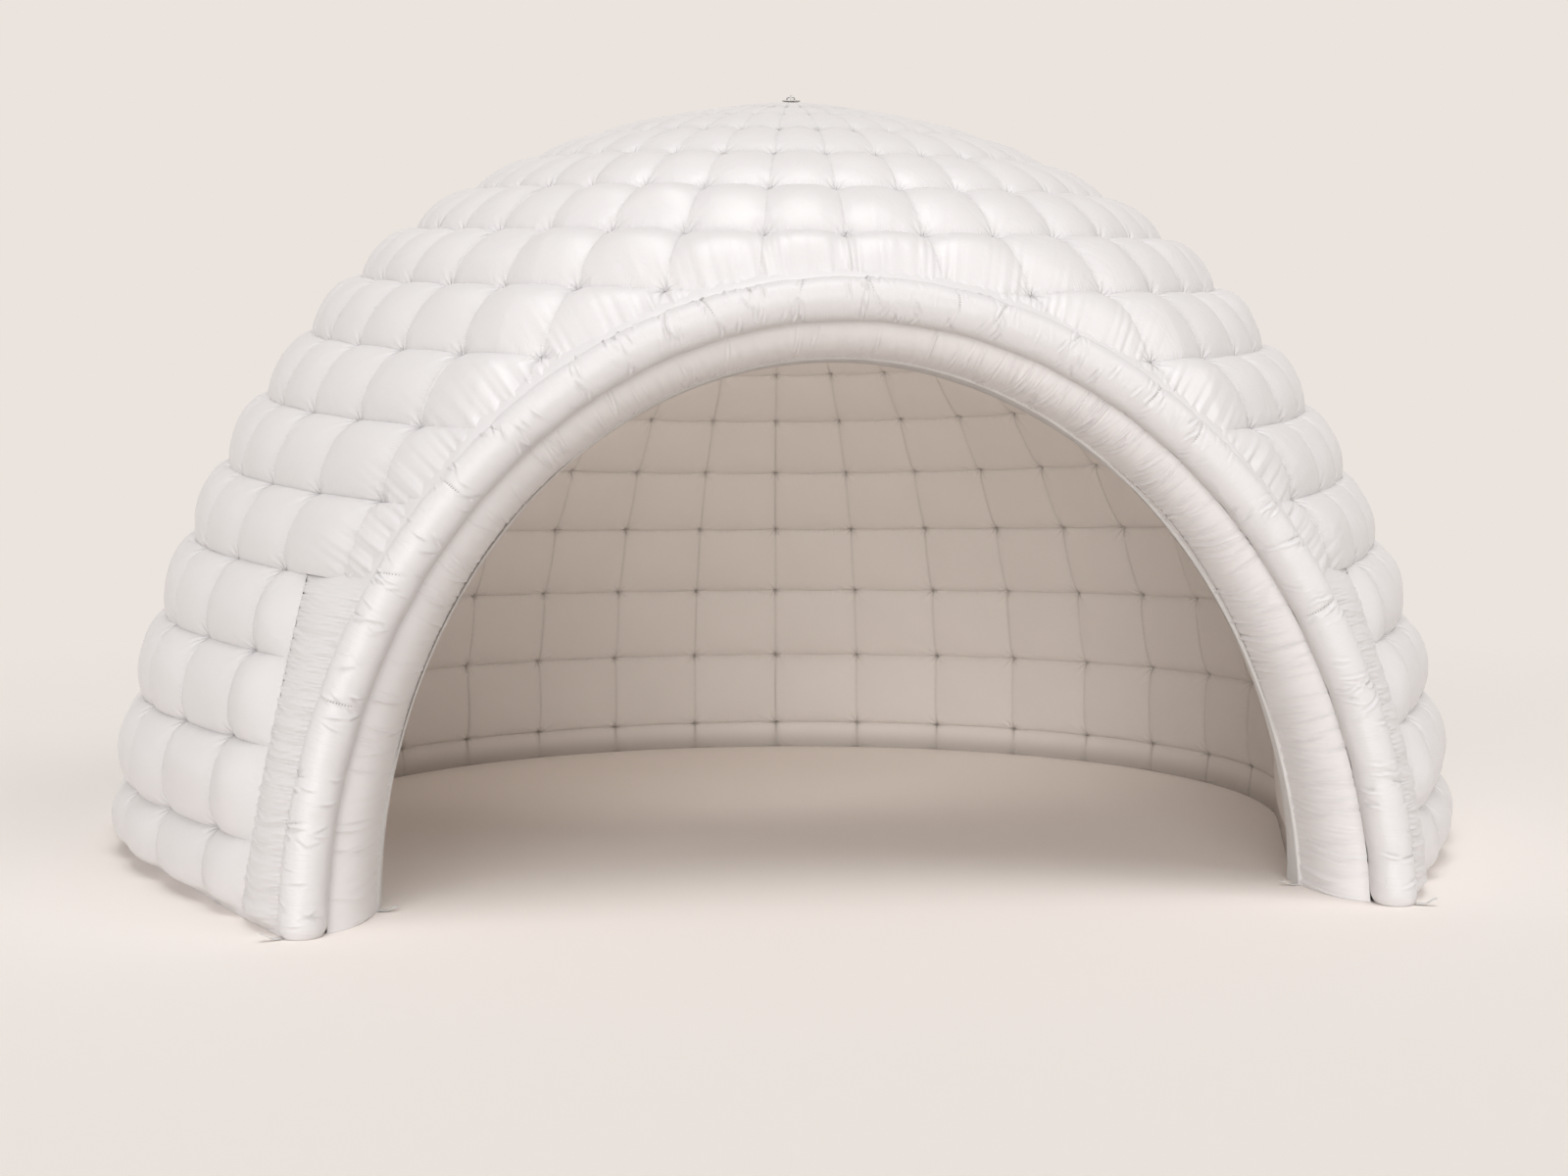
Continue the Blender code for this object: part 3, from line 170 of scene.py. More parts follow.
class Skin:
    """A near-sphere that draws forward to the arch near the ground; azimuth 0 faces the front, -Y.

    Its reach forward has an angle from the front, a height and a power, its flare at the ground a width and a
    height, and its lean back an angle and the latitudes where it starts and how far on it is full.
    """

    def __init__(self, radius, centre, reach, flare=(0.0, 1.0), lean=(0.0, 0.0, 1.0)):
        self.radius = radius
        self.centre = centre
        self.reach_angle, self.reach_height, self.reach_power = reach
        self.flare, self.flare_height = flare
        self.lean, self.lean_from, self.lean_span = lean
        self.base = -math.asin(centre / radius)

    def seams(self, first_height, crown_radius, rows, taper):
        """The latitudes of the ground line, of each level seam and of the crown's rim."""
        first = math.asin((first_height - self.centre) / self.radius)
        last = math.pi / 2 - crown_radius / self.radius
        shares = np.cumsum(1.0 - taper * np.arange(rows))
        return np.concatenate([[self.base, first], first + (last - first) * shares / shares[-1]])

    def grow(self, x, y, z):
        """How far out the skin stands at this place, as a share of the sphere's."""
        away = np.abs(wrapped(np.arctan2(x, -y)))
        held = np.maximum(away, REACH_END)
        fade = np.exp(-((np.maximum(z, 0.0) / self.reach_height) ** self.reach_power))
        reach = (1.0 / np.cos(np.clip(self.reach_angle - held, 0.0, STEEPEST_REACH)) - 1.0) * fade
        reach = np.where(away >= self.reach_angle, 0.0, reach)
        return 1.0 + reach + self.flare / self.radius * np.maximum(0.0, 1.0 - z / self.flare_height) ** 2

    def place(self, latitude, azimuth, offset):
        radius = self.radius + offset
        x = radius * np.cos(latitude) * np.sin(azimuth)
        y = -radius * np.cos(latitude) * np.cos(azimuth)
        z = radius * np.sin(latitude)
        lean = self.lean * smoothstep((latitude - self.lean_from) / self.lean_span)
        y, z = y * np.cos(lean) - z * np.sin(lean), y * np.sin(lean) + z * np.cos(lean)
        z = np.where(latitude <= self.base + 1e-6, 0.0, np.maximum(z + self.centre, 0.0))
        grow = self.grow(x, y, z)
        return stack(x * grow, y * grow, z)

    def front(self, x, z):
        """The y of the skin's front side at this x and z."""
        y = np.full_like(x, -self.radius)
        for _ in range(30):
            plan = np.sqrt(np.maximum(0.0, self.radius**2 - (z - self.centre) ** 2)) * self.grow(x, y, z)
            y = -np.sqrt(np.maximum(0.0, plan**2 - x**2))
        return y


class JoinedSkin(Skin):
    """One skin at the front and the sides that passes smoothly into another at the back."""

    def join(self, rear, seams, rear_seams):
        self.rear = rear
        self.pairs = np.append(seams, math.pi / 2), np.append(rear_seams, math.pi / 2)

    def place(self, latitude, azimuth, offset):
        share = smoothstep((np.abs(wrapped(azimuth)) - REAR_START) / (REAR_FULL - REAR_START))[..., None]
        front = super().place(latitude, azimuth, offset)
        back = self.rear.place(np.interp(latitude, *self.pairs), azimuth, offset)
        return front + (back - front) * share


SHELL_REAR = Skin(
    radius=2.84, centre=0.425, reach=(math.radians(63.7), 1.29, 1.7), flare=(0.06, 0.75),
    lean=(math.radians(9.4), math.radians(-2.0), math.radians(38.0)),
)
SHELL = JoinedSkin(
    radius=2.718, centre=0.5445, reach=(math.radians(59.7), 1.822, 1.7), flare=(0.307, 2.243),
    lean=(math.radians(9.8), math.radians(-15.9), math.radians(57.8)),
)
SHELL_SEAMS = SHELL.seams(first_height=0.296, crown_radius=0.347, rows=SHELL_ROWS, taper=0.0217)
SHELL.join(SHELL_REAR, SHELL_SEAMS, SHELL_REAR.seams(0.296, 0.406, SHELL_ROWS, 0.0226))
ROOM = Skin(radius=2.332, centre=0.3525, reach=(math.radians(69.5), 1.736, 1.2))
ROOM_SEAMS = ROOM.seams(first_height=0.149, crown_radius=0.503, rows=ROOM_ROWS, taper=0.0261)


def across_arch(x, z, half_width, height):
    """1 on this half ellipse, more outside it."""
    return np.hypot(x / half_width, z / height)


def seam_x(z):
    """Half the width between the seams where the quilt ends and the gathered strips start."""
    return SEAM_HALF_WIDTH - SEAM_DRAW * z / SEAM_HEIGHT


def outside_arch(spot):
    x, z = spot[..., 0], spot[..., 2]
    return across_arch(x, z, ARCH_HALF_WIDTH + ARCH_SINK, ARCH_HEIGHT + ARCH_SINK) >= 1.0


def outside_strip(spot):
    return spot[..., 0] >= seam_x(spot[..., 2])


def outside_lip(spot):
    return across_arch(spot[..., 0], spot[..., 2], LIP_HALF_WIDTH, LIP_HEIGHT) >= 1.0


def edge_azimuth(skin, latitude, outside):
    """The azimuth where a skin's front edge stands at each latitude; 0 where the skin is whole."""
    low = np.zeros_like(latitude)
    high = np.full_like(latitude, math.pi / 2)
    whole = outside(skin.place(latitude, low, 0.0))
    for _ in range(26):
        middle = (low + high) / 2
        out = outside(skin.place(latitude, middle, 0.0))
        high = np.where(out, middle, high)
        low = np.where(out, low, middle)
    return np.where(whole, 0.0, high)


def trimmed(skin, latitude, wanted, outside):
    """The wanted azimuths, held back to the skin's front edge, and which of them lay before it."""
    edge = edge_azimuth(skin, latitude, outside)
    dropped = (wanted < edge) | (wanted > math.tau - edge)
    return np.clip(wanted, edge, math.tau - edge), dropped


# Mesh helpers, with the distances at which the sides of a closed grid join and at which an edge is too short
CLOSING = 5e-5
SMALLEST_EDGE = 1e-6


@contextmanager
def editing(mesh):
    """A bmesh of this mesh; what is done to it goes back into the mesh."""
    bm = bmesh.new()
    bm.from_mesh(mesh)
    yield bm
    bm.to_mesh(mesh)
    bm.free()


def new_object(name, data):
    made = bpy.data.objects.new(name, data)
    bpy.context.scene.collection.objects.link(made)
    return made


def mesh_piece(name, mesh, surface, replaced, body=TENT):
    made = new_object(name, mesh)
    mesh.materials.append(surface)
    mesh.shade_smooth()
    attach(made, body)
    if replaced:
        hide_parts(*replaced)
    return made


def cut_size(place, across, along):
    """Width, length and area of a cloth before it puffs or puckers, from a coarse grid on its seam lines."""
    u, v = np.meshgrid(np.linspace(0.0, 1.0, across + 1), np.linspace(0.0, 1.0, along + 1))
    spots, _, _, dropped = place(u.ravel(), v.ravel())
    spots = spots.reshape(along + 1, across + 1, 3)
    gone = np.zeros(u.shape, dtype=bool) if dropped is None else dropped.reshape(u.shape)
    kept = ~(gone[1:, 1:] & gone[1:, :-1] & gone[:-1, 1:] & gone[:-1, :-1])
    side = np.linalg.norm(np.diff(spots, axis=1), axis=-1)
    rise = np.linalg.norm(np.diff(spots, axis=0), axis=-1)
    wide = (side[1:] + side[:-1]) / 2 * kept
    tall = (rise[:, 1:] + rise[:, :-1]) / 2 * kept
    return wide.sum(axis=1).max(), tall.sum(axis=0).max(), (wide * tall).sum()


def declare_cut(place, counts, fullness=1.0):
    """Work out a cloth piece's cut size, which is not kept; fullness is how much larger it is cut than the
    plain form that it covers.
    """
    width, length, area = cut_size(place, *counts)
    width, area = width * fullness, area * fullness
    min(area, width * length)


def cloth_grid(name, across, along, place, closed=False, flip=False):
    """A grid of cloth. From two arrays of shares, place() gives places, cloth coordinates, the painted shade
    in the creases and which corners are dropped."""
    mesh = bpy.data.meshes.new(name)
    with editing(mesh) as bm:
        bmesh.ops.create_grid(bm, x_segments=across, y_segments=along, size=0.5)
    corners = np.empty(len(mesh.vertices) * 3)
    mesh.vertices.foreach_get("co", corners)
    corners = corners.reshape(-1, 3) + 0.5
    spots, cloth, crease, dropped = place(corners[:, 0], corners[:, 1])
    spots = spots + np.array([0.0, AXIS_Y, 0.0])
    mesh.vertices.foreach_set("co", spots.ravel())
    owners = np.empty(len(mesh.loops), dtype=np.int32)
    mesh.loops.foreach_get("vertex_index", owners)
    layer = mesh.uv_layers.new(name="cloth")
    layer.data.foreach_set("uv", cloth[owners].astype(np.float32).ravel())
    shade = mesh.attributes.new("crease", "FLOAT", "POINT")
    shade.data.foreach_set("value", crease.astype(np.float32))
    with editing(mesh) as bm:
        if dropped is not None and dropped.any():
            bm.verts.ensure_lookup_table()
            gone = [face for face in bm.faces if all(dropped[v.index] for v in face.verts)]
            bmesh.ops.delete(bm, geom=gone, context="FACES")
        if closed:
            bmesh.ops.remove_doubles(bm, verts=bm.verts, dist=CLOSING)
        bmesh.ops.dissolve_degenerate(bm, edges=bm.edges, dist=SMALLEST_EDGE)
        if flip:
            bmesh.ops.reverse_faces(bm, faces=bm.faces)
    mesh.update()
    return mesh


def cloth_piece(name, counts, place, surface, replaced, closed=False, flip=False):
    return mesh_piece(name, cloth_grid(name, *counts, place, closed, flip), surface, replaced)


def stations(first, last, count, even):
    """Positions between whole numbers; uneven ones crowd towards the whole numbers, where the seams are."""
    spots = []
    for whole in range(first, last):
        shares = np.arange(count) / count
        if not even:
            shares = 0.5 - 0.5 * np.cos(math.pi * shares)
        spots.append(whole + shares)
    return np.append(np.concatenate(spots), float(last))


# Quilt relief

SHELL_JITTER = rng.normal(0.0, 1.0, (16, SHELL_COLUMNS, 3))
ROOM_JITTER = rng.normal(0.0, 1.0, (12, ROOM_COLUMNS, 3))

# Shares of a cell: how high it puffs, how far its sides fall, how deep its valleys are. Then metres: how
# wide the valleys are, how deep and wide the tufts, and how far the level seams rise between the tufts.
# Then how far the puff sags, and how dark the painted shade is along its level seams, side seams and tufts.
Quilt = namedtuple(
    "Quilt", "puff fall valley valley_width tuft tuft_width seam_rise skew level_mark side_mark tuft_mark"
)
SHELL_QUILT = Quilt(
    puff=0.205, fall=0.36, valley=0.08, valley_width=0.060, tuft=0.016, tuft_width=0.036, seam_rise=0.012,
    skew=1.25, level_mark=0.12, side_mark=0.04, tuft_mark=0.34,
)
ROOM_QUILT = Quilt(
    puff=0.125, fall=0.30, valley=0.06, valley_width=0.030, tuft=0.009, tuft_width=0.020, seam_rise=0.006,
    skew=0.85, level_mark=0.03, side_mark=0.42, tuft_mark=0.85,
)

# What both quilts share: the powers of a cell's profile and of its fall to the sides, how much its width
# limits its puff, how far cells differ, and the widths of the painted shade along the seams and at the tufts
PROFILE_POWER = 0.64
SIDE_POWER = 2.2
WIDTH_LIMIT = 1.15
PUFF_CHANGE = 0.05
LOOSE_CHANGE = 0.14
LOOSE_SHARE = 0.4
TUFT_CHANGE = 0.25
TUFT_OVAL = 0.8
TUFT_SHADE_SHARE = 0.6
LEVEL_SHADE_WIDTH = 0.010
SIDE_SHADE_WIDTH = 0.006


def quilt(row, column, seams, columns, jitter, radius, form):
    """Height of a quilted skin above its seams, and the painted shade in its seams' and tufts' creases."""
    row_index = np.clip(np.floor(row).astype(int), 0, len(seams) - 2)
    column_index = np.floor(column).astype(int) % columns
    v = np.clip(row - row_index, 0.0, 1.0)
    u = column - np.floor(column)
    low, high = seams[row_index], seams[row_index + 1]
    tall = radius * (high - low)
    wide = radius * np.cos((low + high) / 2) * math.tau / columns
    change = jitter[row_index % jitter.shape[0], column_index]
    profile = np.maximum(0.0, 1.0 - np.abs(2.0 * v**form.skew - 1.0) ** 2.0) ** PROFILE_POWER
    side = np.minimum(u, 1.0 - u) * wide
    level = np.minimum(v, 1.0 - v) * tall
    dip = form.valley * decay(side, form.valley_width) * (0.75 + 0.25 * np.abs(2.0 * v - 1.0))
    crown = 1.0 - form.fall * np.abs(2.0 * u - 1.0) ** SIDE_POWER
    puff = form.puff * np.minimum(tall, wide * WIDTH_LIMIT) * (1.0 + PUFF_CHANGE * change[..., 0])
    loose = LOOSE_CHANGE * change[..., 1] * arc(u) * np.sin(2 * math.pi * v)
    height = puff * (profile * (crown - dip) + LOOSE_SHARE * loose * profile)
    height = height + form.seam_rise * (1.0 - profile) * (1.0 - (2.0 * u - 1.0) ** 2)
    reach = np.hypot(side, level * TUFT_OVAL)
    height = height - form.tuft * hump(reach, form.tuft_width) * (1.0 + TUFT_CHANGE * change[..., 2])
    # Painted shade along the level seams, the side seams and at the tufts.
    crease = form.level_mark * hump(level, LEVEL_SHADE_WIDTH) + form.side_mark * hump(side, SIDE_SHADE_WIDTH)
    crease = crease + form.tuft_mark * hump(reach, TUFT_SHADE_SHARE * form.tuft_width)
    return height, np.clip(crease, 0.0, 1.0)


def calm_at_fittings(spot, height):
    """The quilt's height, drawn flat round the fan and the zip at the back."""
    for node in ("fan_housing", "zip_pocket"):
        low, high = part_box(node)
        across = np.maximum(np.maximum(low.x - spot[..., 0], spot[..., 0] - high.x), 0.0)
        up = np.maximum(np.maximum(low.z - spot[..., 2], spot[..., 2] - high.z), 0.0)
        share = smoothstep(np.hypot(across, up) / FITTING_REACH)
        height = np.where(spot[..., 1] > 0.0, height * share, height)
    return height


# Beside the strips and beside the arch: how far the gathers reach and how deep their narrow and broad
# folds are, in metres
Gather = namedtuple("Gather", "reach narrow broad")
STRIP_GATHER = Gather(0.030, 0.0035, 0.0)
ARCH_GATHER = Gather(0.075, 0.0075, 0.006)
STRIP_SPREAD = 1.35


def shell_relief(row, column, latitude, azimuth):
    """The outer quilt's height, faded and gathered where it runs into the strips and the arch."""
    height, crease = quilt(row, column, SHELL_SEAMS, SHELL_COLUMNS, SHELL_JITTER, SHELL.radius, SHELL_QUILT)
    height = height * (1.0 - TOP_FLATTENING * smoothstep((row - TOP_FLAT_FROM) / TOP_FLAT_SPAN))
    spot = SHELL.place(latitude, azimuth, 0.0)
    height = calm_at_fittings(spot, height)
    x, z = spot[..., 0], spot[..., 2]
    arch = across_arch(x, z, ARCH_HALF_WIDTH + TUBE_RADIUS, ARCH_HEIGHT + TUBE_RADIUS) - 1.0
    low = row < STRIP_TOP_ROW
    away = np.where(low, (np.abs(x) - seam_x(z)) * STRIP_SPREAD, arch * ARCH_HALF_WIDTH)
    away = np.where(spot[..., 1] > 0.0, FAR, np.maximum(away, 0.0))
    along = np.arctan2(z / ARCH_HEIGHT, x / ARCH_HALF_WIDTH) * 2.0
    reach, narrow, broad = (np.where(low, *pair) for pair in zip(STRIP_GATHER, ARCH_GATHER))
    folds = narrow * ripple(along, 0.045, 1.0, 1.2) + broad * ripple(along, 0.11, 2.3)
    fade = smoothstep(away / 0.17 + 0.04) ** 0.6
    gather = folds * decay(away, reach) * smoothstep(away / 0.012 + 0.3)
    # The painted crease shade fades out towards the strips and the arch.
    return height * fade + gather, np.clip(crease * smoothstep(away / 0.05), 0.0, 1.0)


def tucked_foot(height, latitude, azimuth):
    """The outer cloth's height, drawn in under the lowest row except at the arch."""
    share = (latitude - SHELL.base) / (SHELL_SEAMS[1] - SHELL.base)
    held = smoothstep((np.abs(wrapped(azimuth)) - TUCK_START) / TUCK_SPAN)
    tuck = held * FOOT_TUCK * (1.0 - np.clip(share / FOOT_TUCK_SHARE, 0.0, 1.0)) ** 2
    return height * smoothstep(share * 4.0) - tuck


# Quilted skins


def skin_cell(u, v, columns_at, rows_at, seams):
    """The column, the row and the latitude at these shares of a piece."""
    row = between(v, rows_at)
    return between(u, columns_at), row, np.interp(row, np.arange(len(seams)), seams)


def shell_piece(name, rows, columns, fine, replaced, surface):
    """A part of the outer skin between two level seams and two meridians."""
    down, up = rows
    left, right = columns
    per_row, per_column = (60, 44) if fine else (20, 20)
    rows_at = stations(down, up, per_row, fine)
    columns_at = stations(left, right, per_column, False)
    if fine and left:
        columns_at[0] -= FRONT_OVERLAP
    if fine and right != SHELL_COLUMNS:
        columns_at[-1] += FRONT_OVERLAP
    outside = outside_strip if down < STRIP_TOP_ROW else outside_arch

    def place(u, v):
        column, row, latitude = skin_cell(u, v, columns_at, rows_at, SHELL_SEAMS)
        azimuth, dropped = trimmed(SHELL, latitude, column * math.tau / SHELL_COLUMNS, outside)
        height, crease = shell_relief(row, column, latitude, azimuth)
        height = tucked_foot(height, latitude, azimuth)
        return SHELL.place(latitude, azimuth, height), stack(column, row), crease, dropped

    counts = len(columns_at) - 1, len(rows_at) - 1
    piece = cloth_piece(name, counts, place, surface, replaced, closed=right - left == SHELL_COLUMNS)
    declare_cut(place, (right - left, up - down), QUILT_FULLNESS)


def crown_piece(name, skin, seam, columns, turn, lift, replaced, surface):
    """The round top panel, pleated towards its hub."""
    hub = math.pi / 2 - HUB_RADIUS / skin.radius
    columns_at = stations(0, columns, 8, False)

    def place(u, v):
        column = between(u, columns_at)
        share = column - np.floor(column)
        side = np.minimum(share, 1.0 - share)
        pleat = 1.0 - 0.15 * decay(side * (1.0 - 0.8 * v), 0.12)
        rise = lift * (1.0 - (1.0 - v) ** 2.2) ** 0.7
        height = rise * (pleat * (1.0 - v) + v)
        spots = skin.place(seam + (hub - seam) * v, turn + column * math.tau / columns, height)
        # The crease value is a light painted shade along the pleats' seams.
        return spots, stack(column, SHELL_ROWS + 1 + v), hump(side, 0.06) * 0.15, None

    mesh = cloth_grid(name, len(columns_at) - 1, 18, place, closed=True, flip=lift < 0)
    pole = skin.place(np.array([math.pi / 2]), np.array([0.0]), 0.0)
    centre = Vector((0.0, float(pole[0, 1]) + AXIS_Y))
    with editing(mesh) as bm:
        hub_edges = [
            edge for edge in bm.edges
            if edge.is_boundary and all((v.co.xy - centre).length < 3 * HUB_RADIUS for v in edge.verts)
        ]
        bmesh.ops.holes_fill(bm, edges=hub_edges, sides=0)
        bmesh.ops.recalc_face_normals(bm, faces=bm.faces)
        up = sum(f.normal.z * f.calc_area() for f in bm.faces)
        if up * lift < 0.0:
            bmesh.ops.reverse_faces(bm, faces=bm.faces)
    piece = mesh_piece(name, mesh, surface, replaced)


def room_piece(name, rows, replaced, surface):
    """A ring of the lining between two level seams."""
    down, up = rows
    rows_at = stations(down, up, 16, False)
    columns_at = stations(0, ROOM_COLUMNS, 20, False)

    def place(u, v):
        column, row, latitude = skin_cell(u, v, columns_at, rows_at, ROOM_SEAMS)
        wanted = ROOM_TURN + column * math.tau / ROOM_COLUMNS
        azimuth, dropped = trimmed(ROOM, latitude, wanted, outside_lip)
        height, crease = quilt(row, column, ROOM_SEAMS, ROOM_COLUMNS, ROOM_JITTER, ROOM.radius, ROOM_QUILT)
        if up == 1:
            height = BAND_PUFF * height
            # Painted shade that darkens the base band towards the ground.
            crease = np.maximum(crease, 1.0 - smoothstep(row / BAND_SHADE))
        spot = ROOM.place(latitude, azimuth, 0.0)
        arch = across_arch(spot[..., 0], spot[..., 2], LIP_HALF_WIDTH, LIP_HEIGHT) - 1.0
        away = np.where(spot[..., 1] > 0.0, FAR, np.maximum(arch, 0.0) * LIP_HALF_WIDTH)
        height = height * smoothstep(away / ROOM_FADE)
        return ROOM.place(latitude, azimuth, -height), stack(column, row), crease, dropped

    counts = len(columns_at) - 1, len(rows_at) - 1
    piece = cloth_piece(name, counts, place, surface, replaced, closed=True, flip=True)
    declare_cut(place, (ROOM_COLUMNS, up - down), QUILT_FULLNESS)


# Arch


def arch_line(share, half_width, height, depth):
    """A line round an arch that leans back; share 0 is its right foot, 1 its left."""
    angle = math.pi * share
    z = height * np.sin(angle)
    return stack(half_width * np.cos(angle), -depth + ARCH_LEAN * z, z)


def arch_axes(share):
    """Centre, outward and forward directions of the arch tube."""
    size = (ARCH_HALF_WIDTH, ARCH_HEIGHT, ARCH_FOOT_DEPTH)
    here, before, after = (arch_line(share + step, *size) for step in (0.0, -0.004, 0.004))
    along = after - before
    along /= np.linalg.norm(along, axis=-1, keepdims=True)
    forward = np.array([0.0, -1.0, -ARCH_LEAN]) / math.hypot(1.0, ARCH_LEAN)
    forward = np.broadcast_to(forward, along.shape)
    outward = np.cross(forward, along)
    outward /= np.linalg.norm(outward, axis=-1, keepdims=True)
    sign = np.sign(outward[..., 0] * here[..., 0] + outward[..., 2] * here[..., 2])
    outward *= np.where(sign == 0.0, 1.0, sign)[..., None]
    return here, outward, forward


def drawn(*ranges):
    return tuple(rng.uniform(*span) for span in ranges)


def spaced(start, end, gap, *ranges):
    """Irregular places from start to end, each followed by a number from every range."""
    rows = []
    spot = start
    while spot < end:
        rows.append((spot, *drawn(*ranges)))
        spot += rng.uniform(*gap)
    return rows


def tube_creases(seams, count=420):
    """For each crease: its place along the tube and round it, its slant and its size. Most are at seams."""
    creases = []
    for _ in range(count):
        if rng.uniform() < 0.6:
            spot = seams[rng.integers(len(seams))][0] + rng.normal(0.0, 0.025)
        else:
            spot = rng.uniform(0.05, ARCH_LENGTH)
        creases.append((spot, *drawn((-1.2, 2.6), (-0.6, 0.6), (0.4, 1.2))))
    return creases


# For each stitched cross seam: its place along the tube and round it, its reach and its slant
TUBE_SEAMS = spaced(0.16, ARCH_LENGTH - 0.12, (0.13, 0.36), (-0.4, 1.6), (0.5, 1.3), (-0.03, 0.03))
TUBE_CREASES = tube_creases(TUBE_SEAMS)

# Depths in metres: a seam's stitched groove, the puckers and the wider hollow beside it, and one crease
SEAM_GROOVE = 0.0042
SEAM_PUCKER = 0.0030
SEAM_HOLLOW = 0.0030
CREASE_RISE = 0.0062

# How much thinner the tube is at its feet and up to what height, up to what height it settles flat on the
# ground, and how far its cloth lies inside the solid's surface
FOOT_THINNING = 0.20
FOOT_HEIGHT = 0.04
SETTLE_HEIGHT = 0.30
CLOTH_INSET = 0.0015


def tube_relief(along, angle):
    """Short stitched cross seams, puckers beside them and creases on the arch tube, with painted shade along
    the seams.
    """
    height = np.zeros_like(along)
    crease = np.zeros_like(along)
    for index, (spot, turn, reach, slant) in enumerate(TUBE_SEAMS):
        around = wrapped(angle - turn)
        window = np.exp(-((around / reach) ** 4))
        near = along - spot - slant * around
        puckers = ripple(angle * TUBE_RADIUS + index, 0.019, index * 1.7, 1.1)
        height -= SEAM_GROOVE * window * hump(near, 0.005)
        height += SEAM_PUCKER * window * puckers * decay(np.abs(near), 0.016)
        height -= SEAM_HOLLOW * hump(near, 0.045)
        # Painted shade along each cross seam's groove; the stitches are drawn only where it lies.
        crease = np.maximum(crease, window * hump(near, 0.0035))
    for spot, turn, slant, size in TUBE_CREASES:
        here = np.abs(along - spot) < 0.09
        around = wrapped(angle[here] - turn) * TUBE_RADIUS
        line = along[here] - spot - slant * around
        height[here] += CREASE_RISE * size * fold(line, 0.0042, 0.009, 0.005) * hump(around, 0.024)
    return height, crease


def build_tube(surface):
    """The round, air-filled cloth of the arch, closed and flat at its feet."""

    def place(u, v):
        angle = math.tau * u
        here, outward, forward = arch_axes(v)
        centre_z = here[..., 2]
        height, crease = tube_relief(v * ARCH_LENGTH, angle)
        pressed = 1.0 - FOOT_THINNING * np.maximum(0.0, 1.0 - centre_z / FOOT_HEIGHT) ** 2
        radius = (TUBE_RADIUS - CLOTH_INSET + height) * pressed
        spots = here + outward * (radius * np.cos(angle))[..., None]
        spots += forward * (radius * np.sin(angle))[..., None]
        level = smoothstep(centre_z / SETTLE_HEIGHT)
        spots[..., 2] = np.maximum(centre_z + (spots[..., 2] - centre_z) * level, 0.0)
        return spots, stack(angle * TUBE_RADIUS, v * ARCH_LENGTH), crease, None

    mesh = cloth_grid("arch_tube_cloth", 44, 2000, place, closed=True)
    with editing(mesh) as bm:
        bmesh.ops.holes_fill(bm, edges=[e for e in bm.edges if e.is_boundary], sides=0)
        bmesh.ops.recalc_face_normals(bm, faces=bm.faces)
        if bm.calc_volume(signed=True) < 0.0:
            bmesh.ops.reverse_faces(bm, faces=bm.faces)
    nodes = ["arch_tube", "arch_foot_left", "arch_foot_right"]
    piece = mesh_piece("arch_tube_cloth", mesh, surface, nodes)


FLANGE_WIDTH = 0.085
FLANGE_START = 0.035


def build_flange(surface):
    """The flat seam strip that lies on the skin along the tube's outer side."""

    def place(u, v):
        angle = math.pi * v
        reach = TUBE_RADIUS - FLANGE_START + FLANGE_WIDTH * u
        x = (ARCH_HALF_WIDTH + reach) * np.cos(angle)
        z = (ARCH_HEIGHT + reach) * np.sin(angle)
        y = SHELL.front(x, z) - 0.010 * arc(np.clip(u * 1.1, 0.0, 1.0)) - 0.004
        wave = 0.0016 * ripple(v * ARCH_LENGTH, 0.07, 0.7) * u
        # The crease value is painted shade along the flange's edge away from the tube.
        return stack(x, y - wave, z), stack(u * FLANGE_WIDTH, v * ARCH_LENGTH), hump(u - 1.0, 0.06), None

    piece = cloth_piece("arch_flange", (10, 520), place, surface, [], flip=True)
    declare_cut(place, (4, 60))


# Where round the tube the jamb starts, how far it bulges, how wide it is, and how far it laps over the lip
JAMB_START = math.radians(200.5)
JAMB_BULGE = 0.045
JAMB_WIDTH = 0.30
JAMB_LAP = 0.004


def jamb_creases(count=340):
    """For each crease: its place along the arch and across it, its slant and its size."""
    creases = []
    for _ in range(count):
        spot = ARCH_LENGTH * (rng.uniform(0.0, 0.42) if rng.uniform() < 0.6 else rng.uniform(0.0, 1.0))
        creases.append((spot, *drawn((0.1, 1.0), (-0.5, 0.5), (0.3, 1.0))))
    return creases


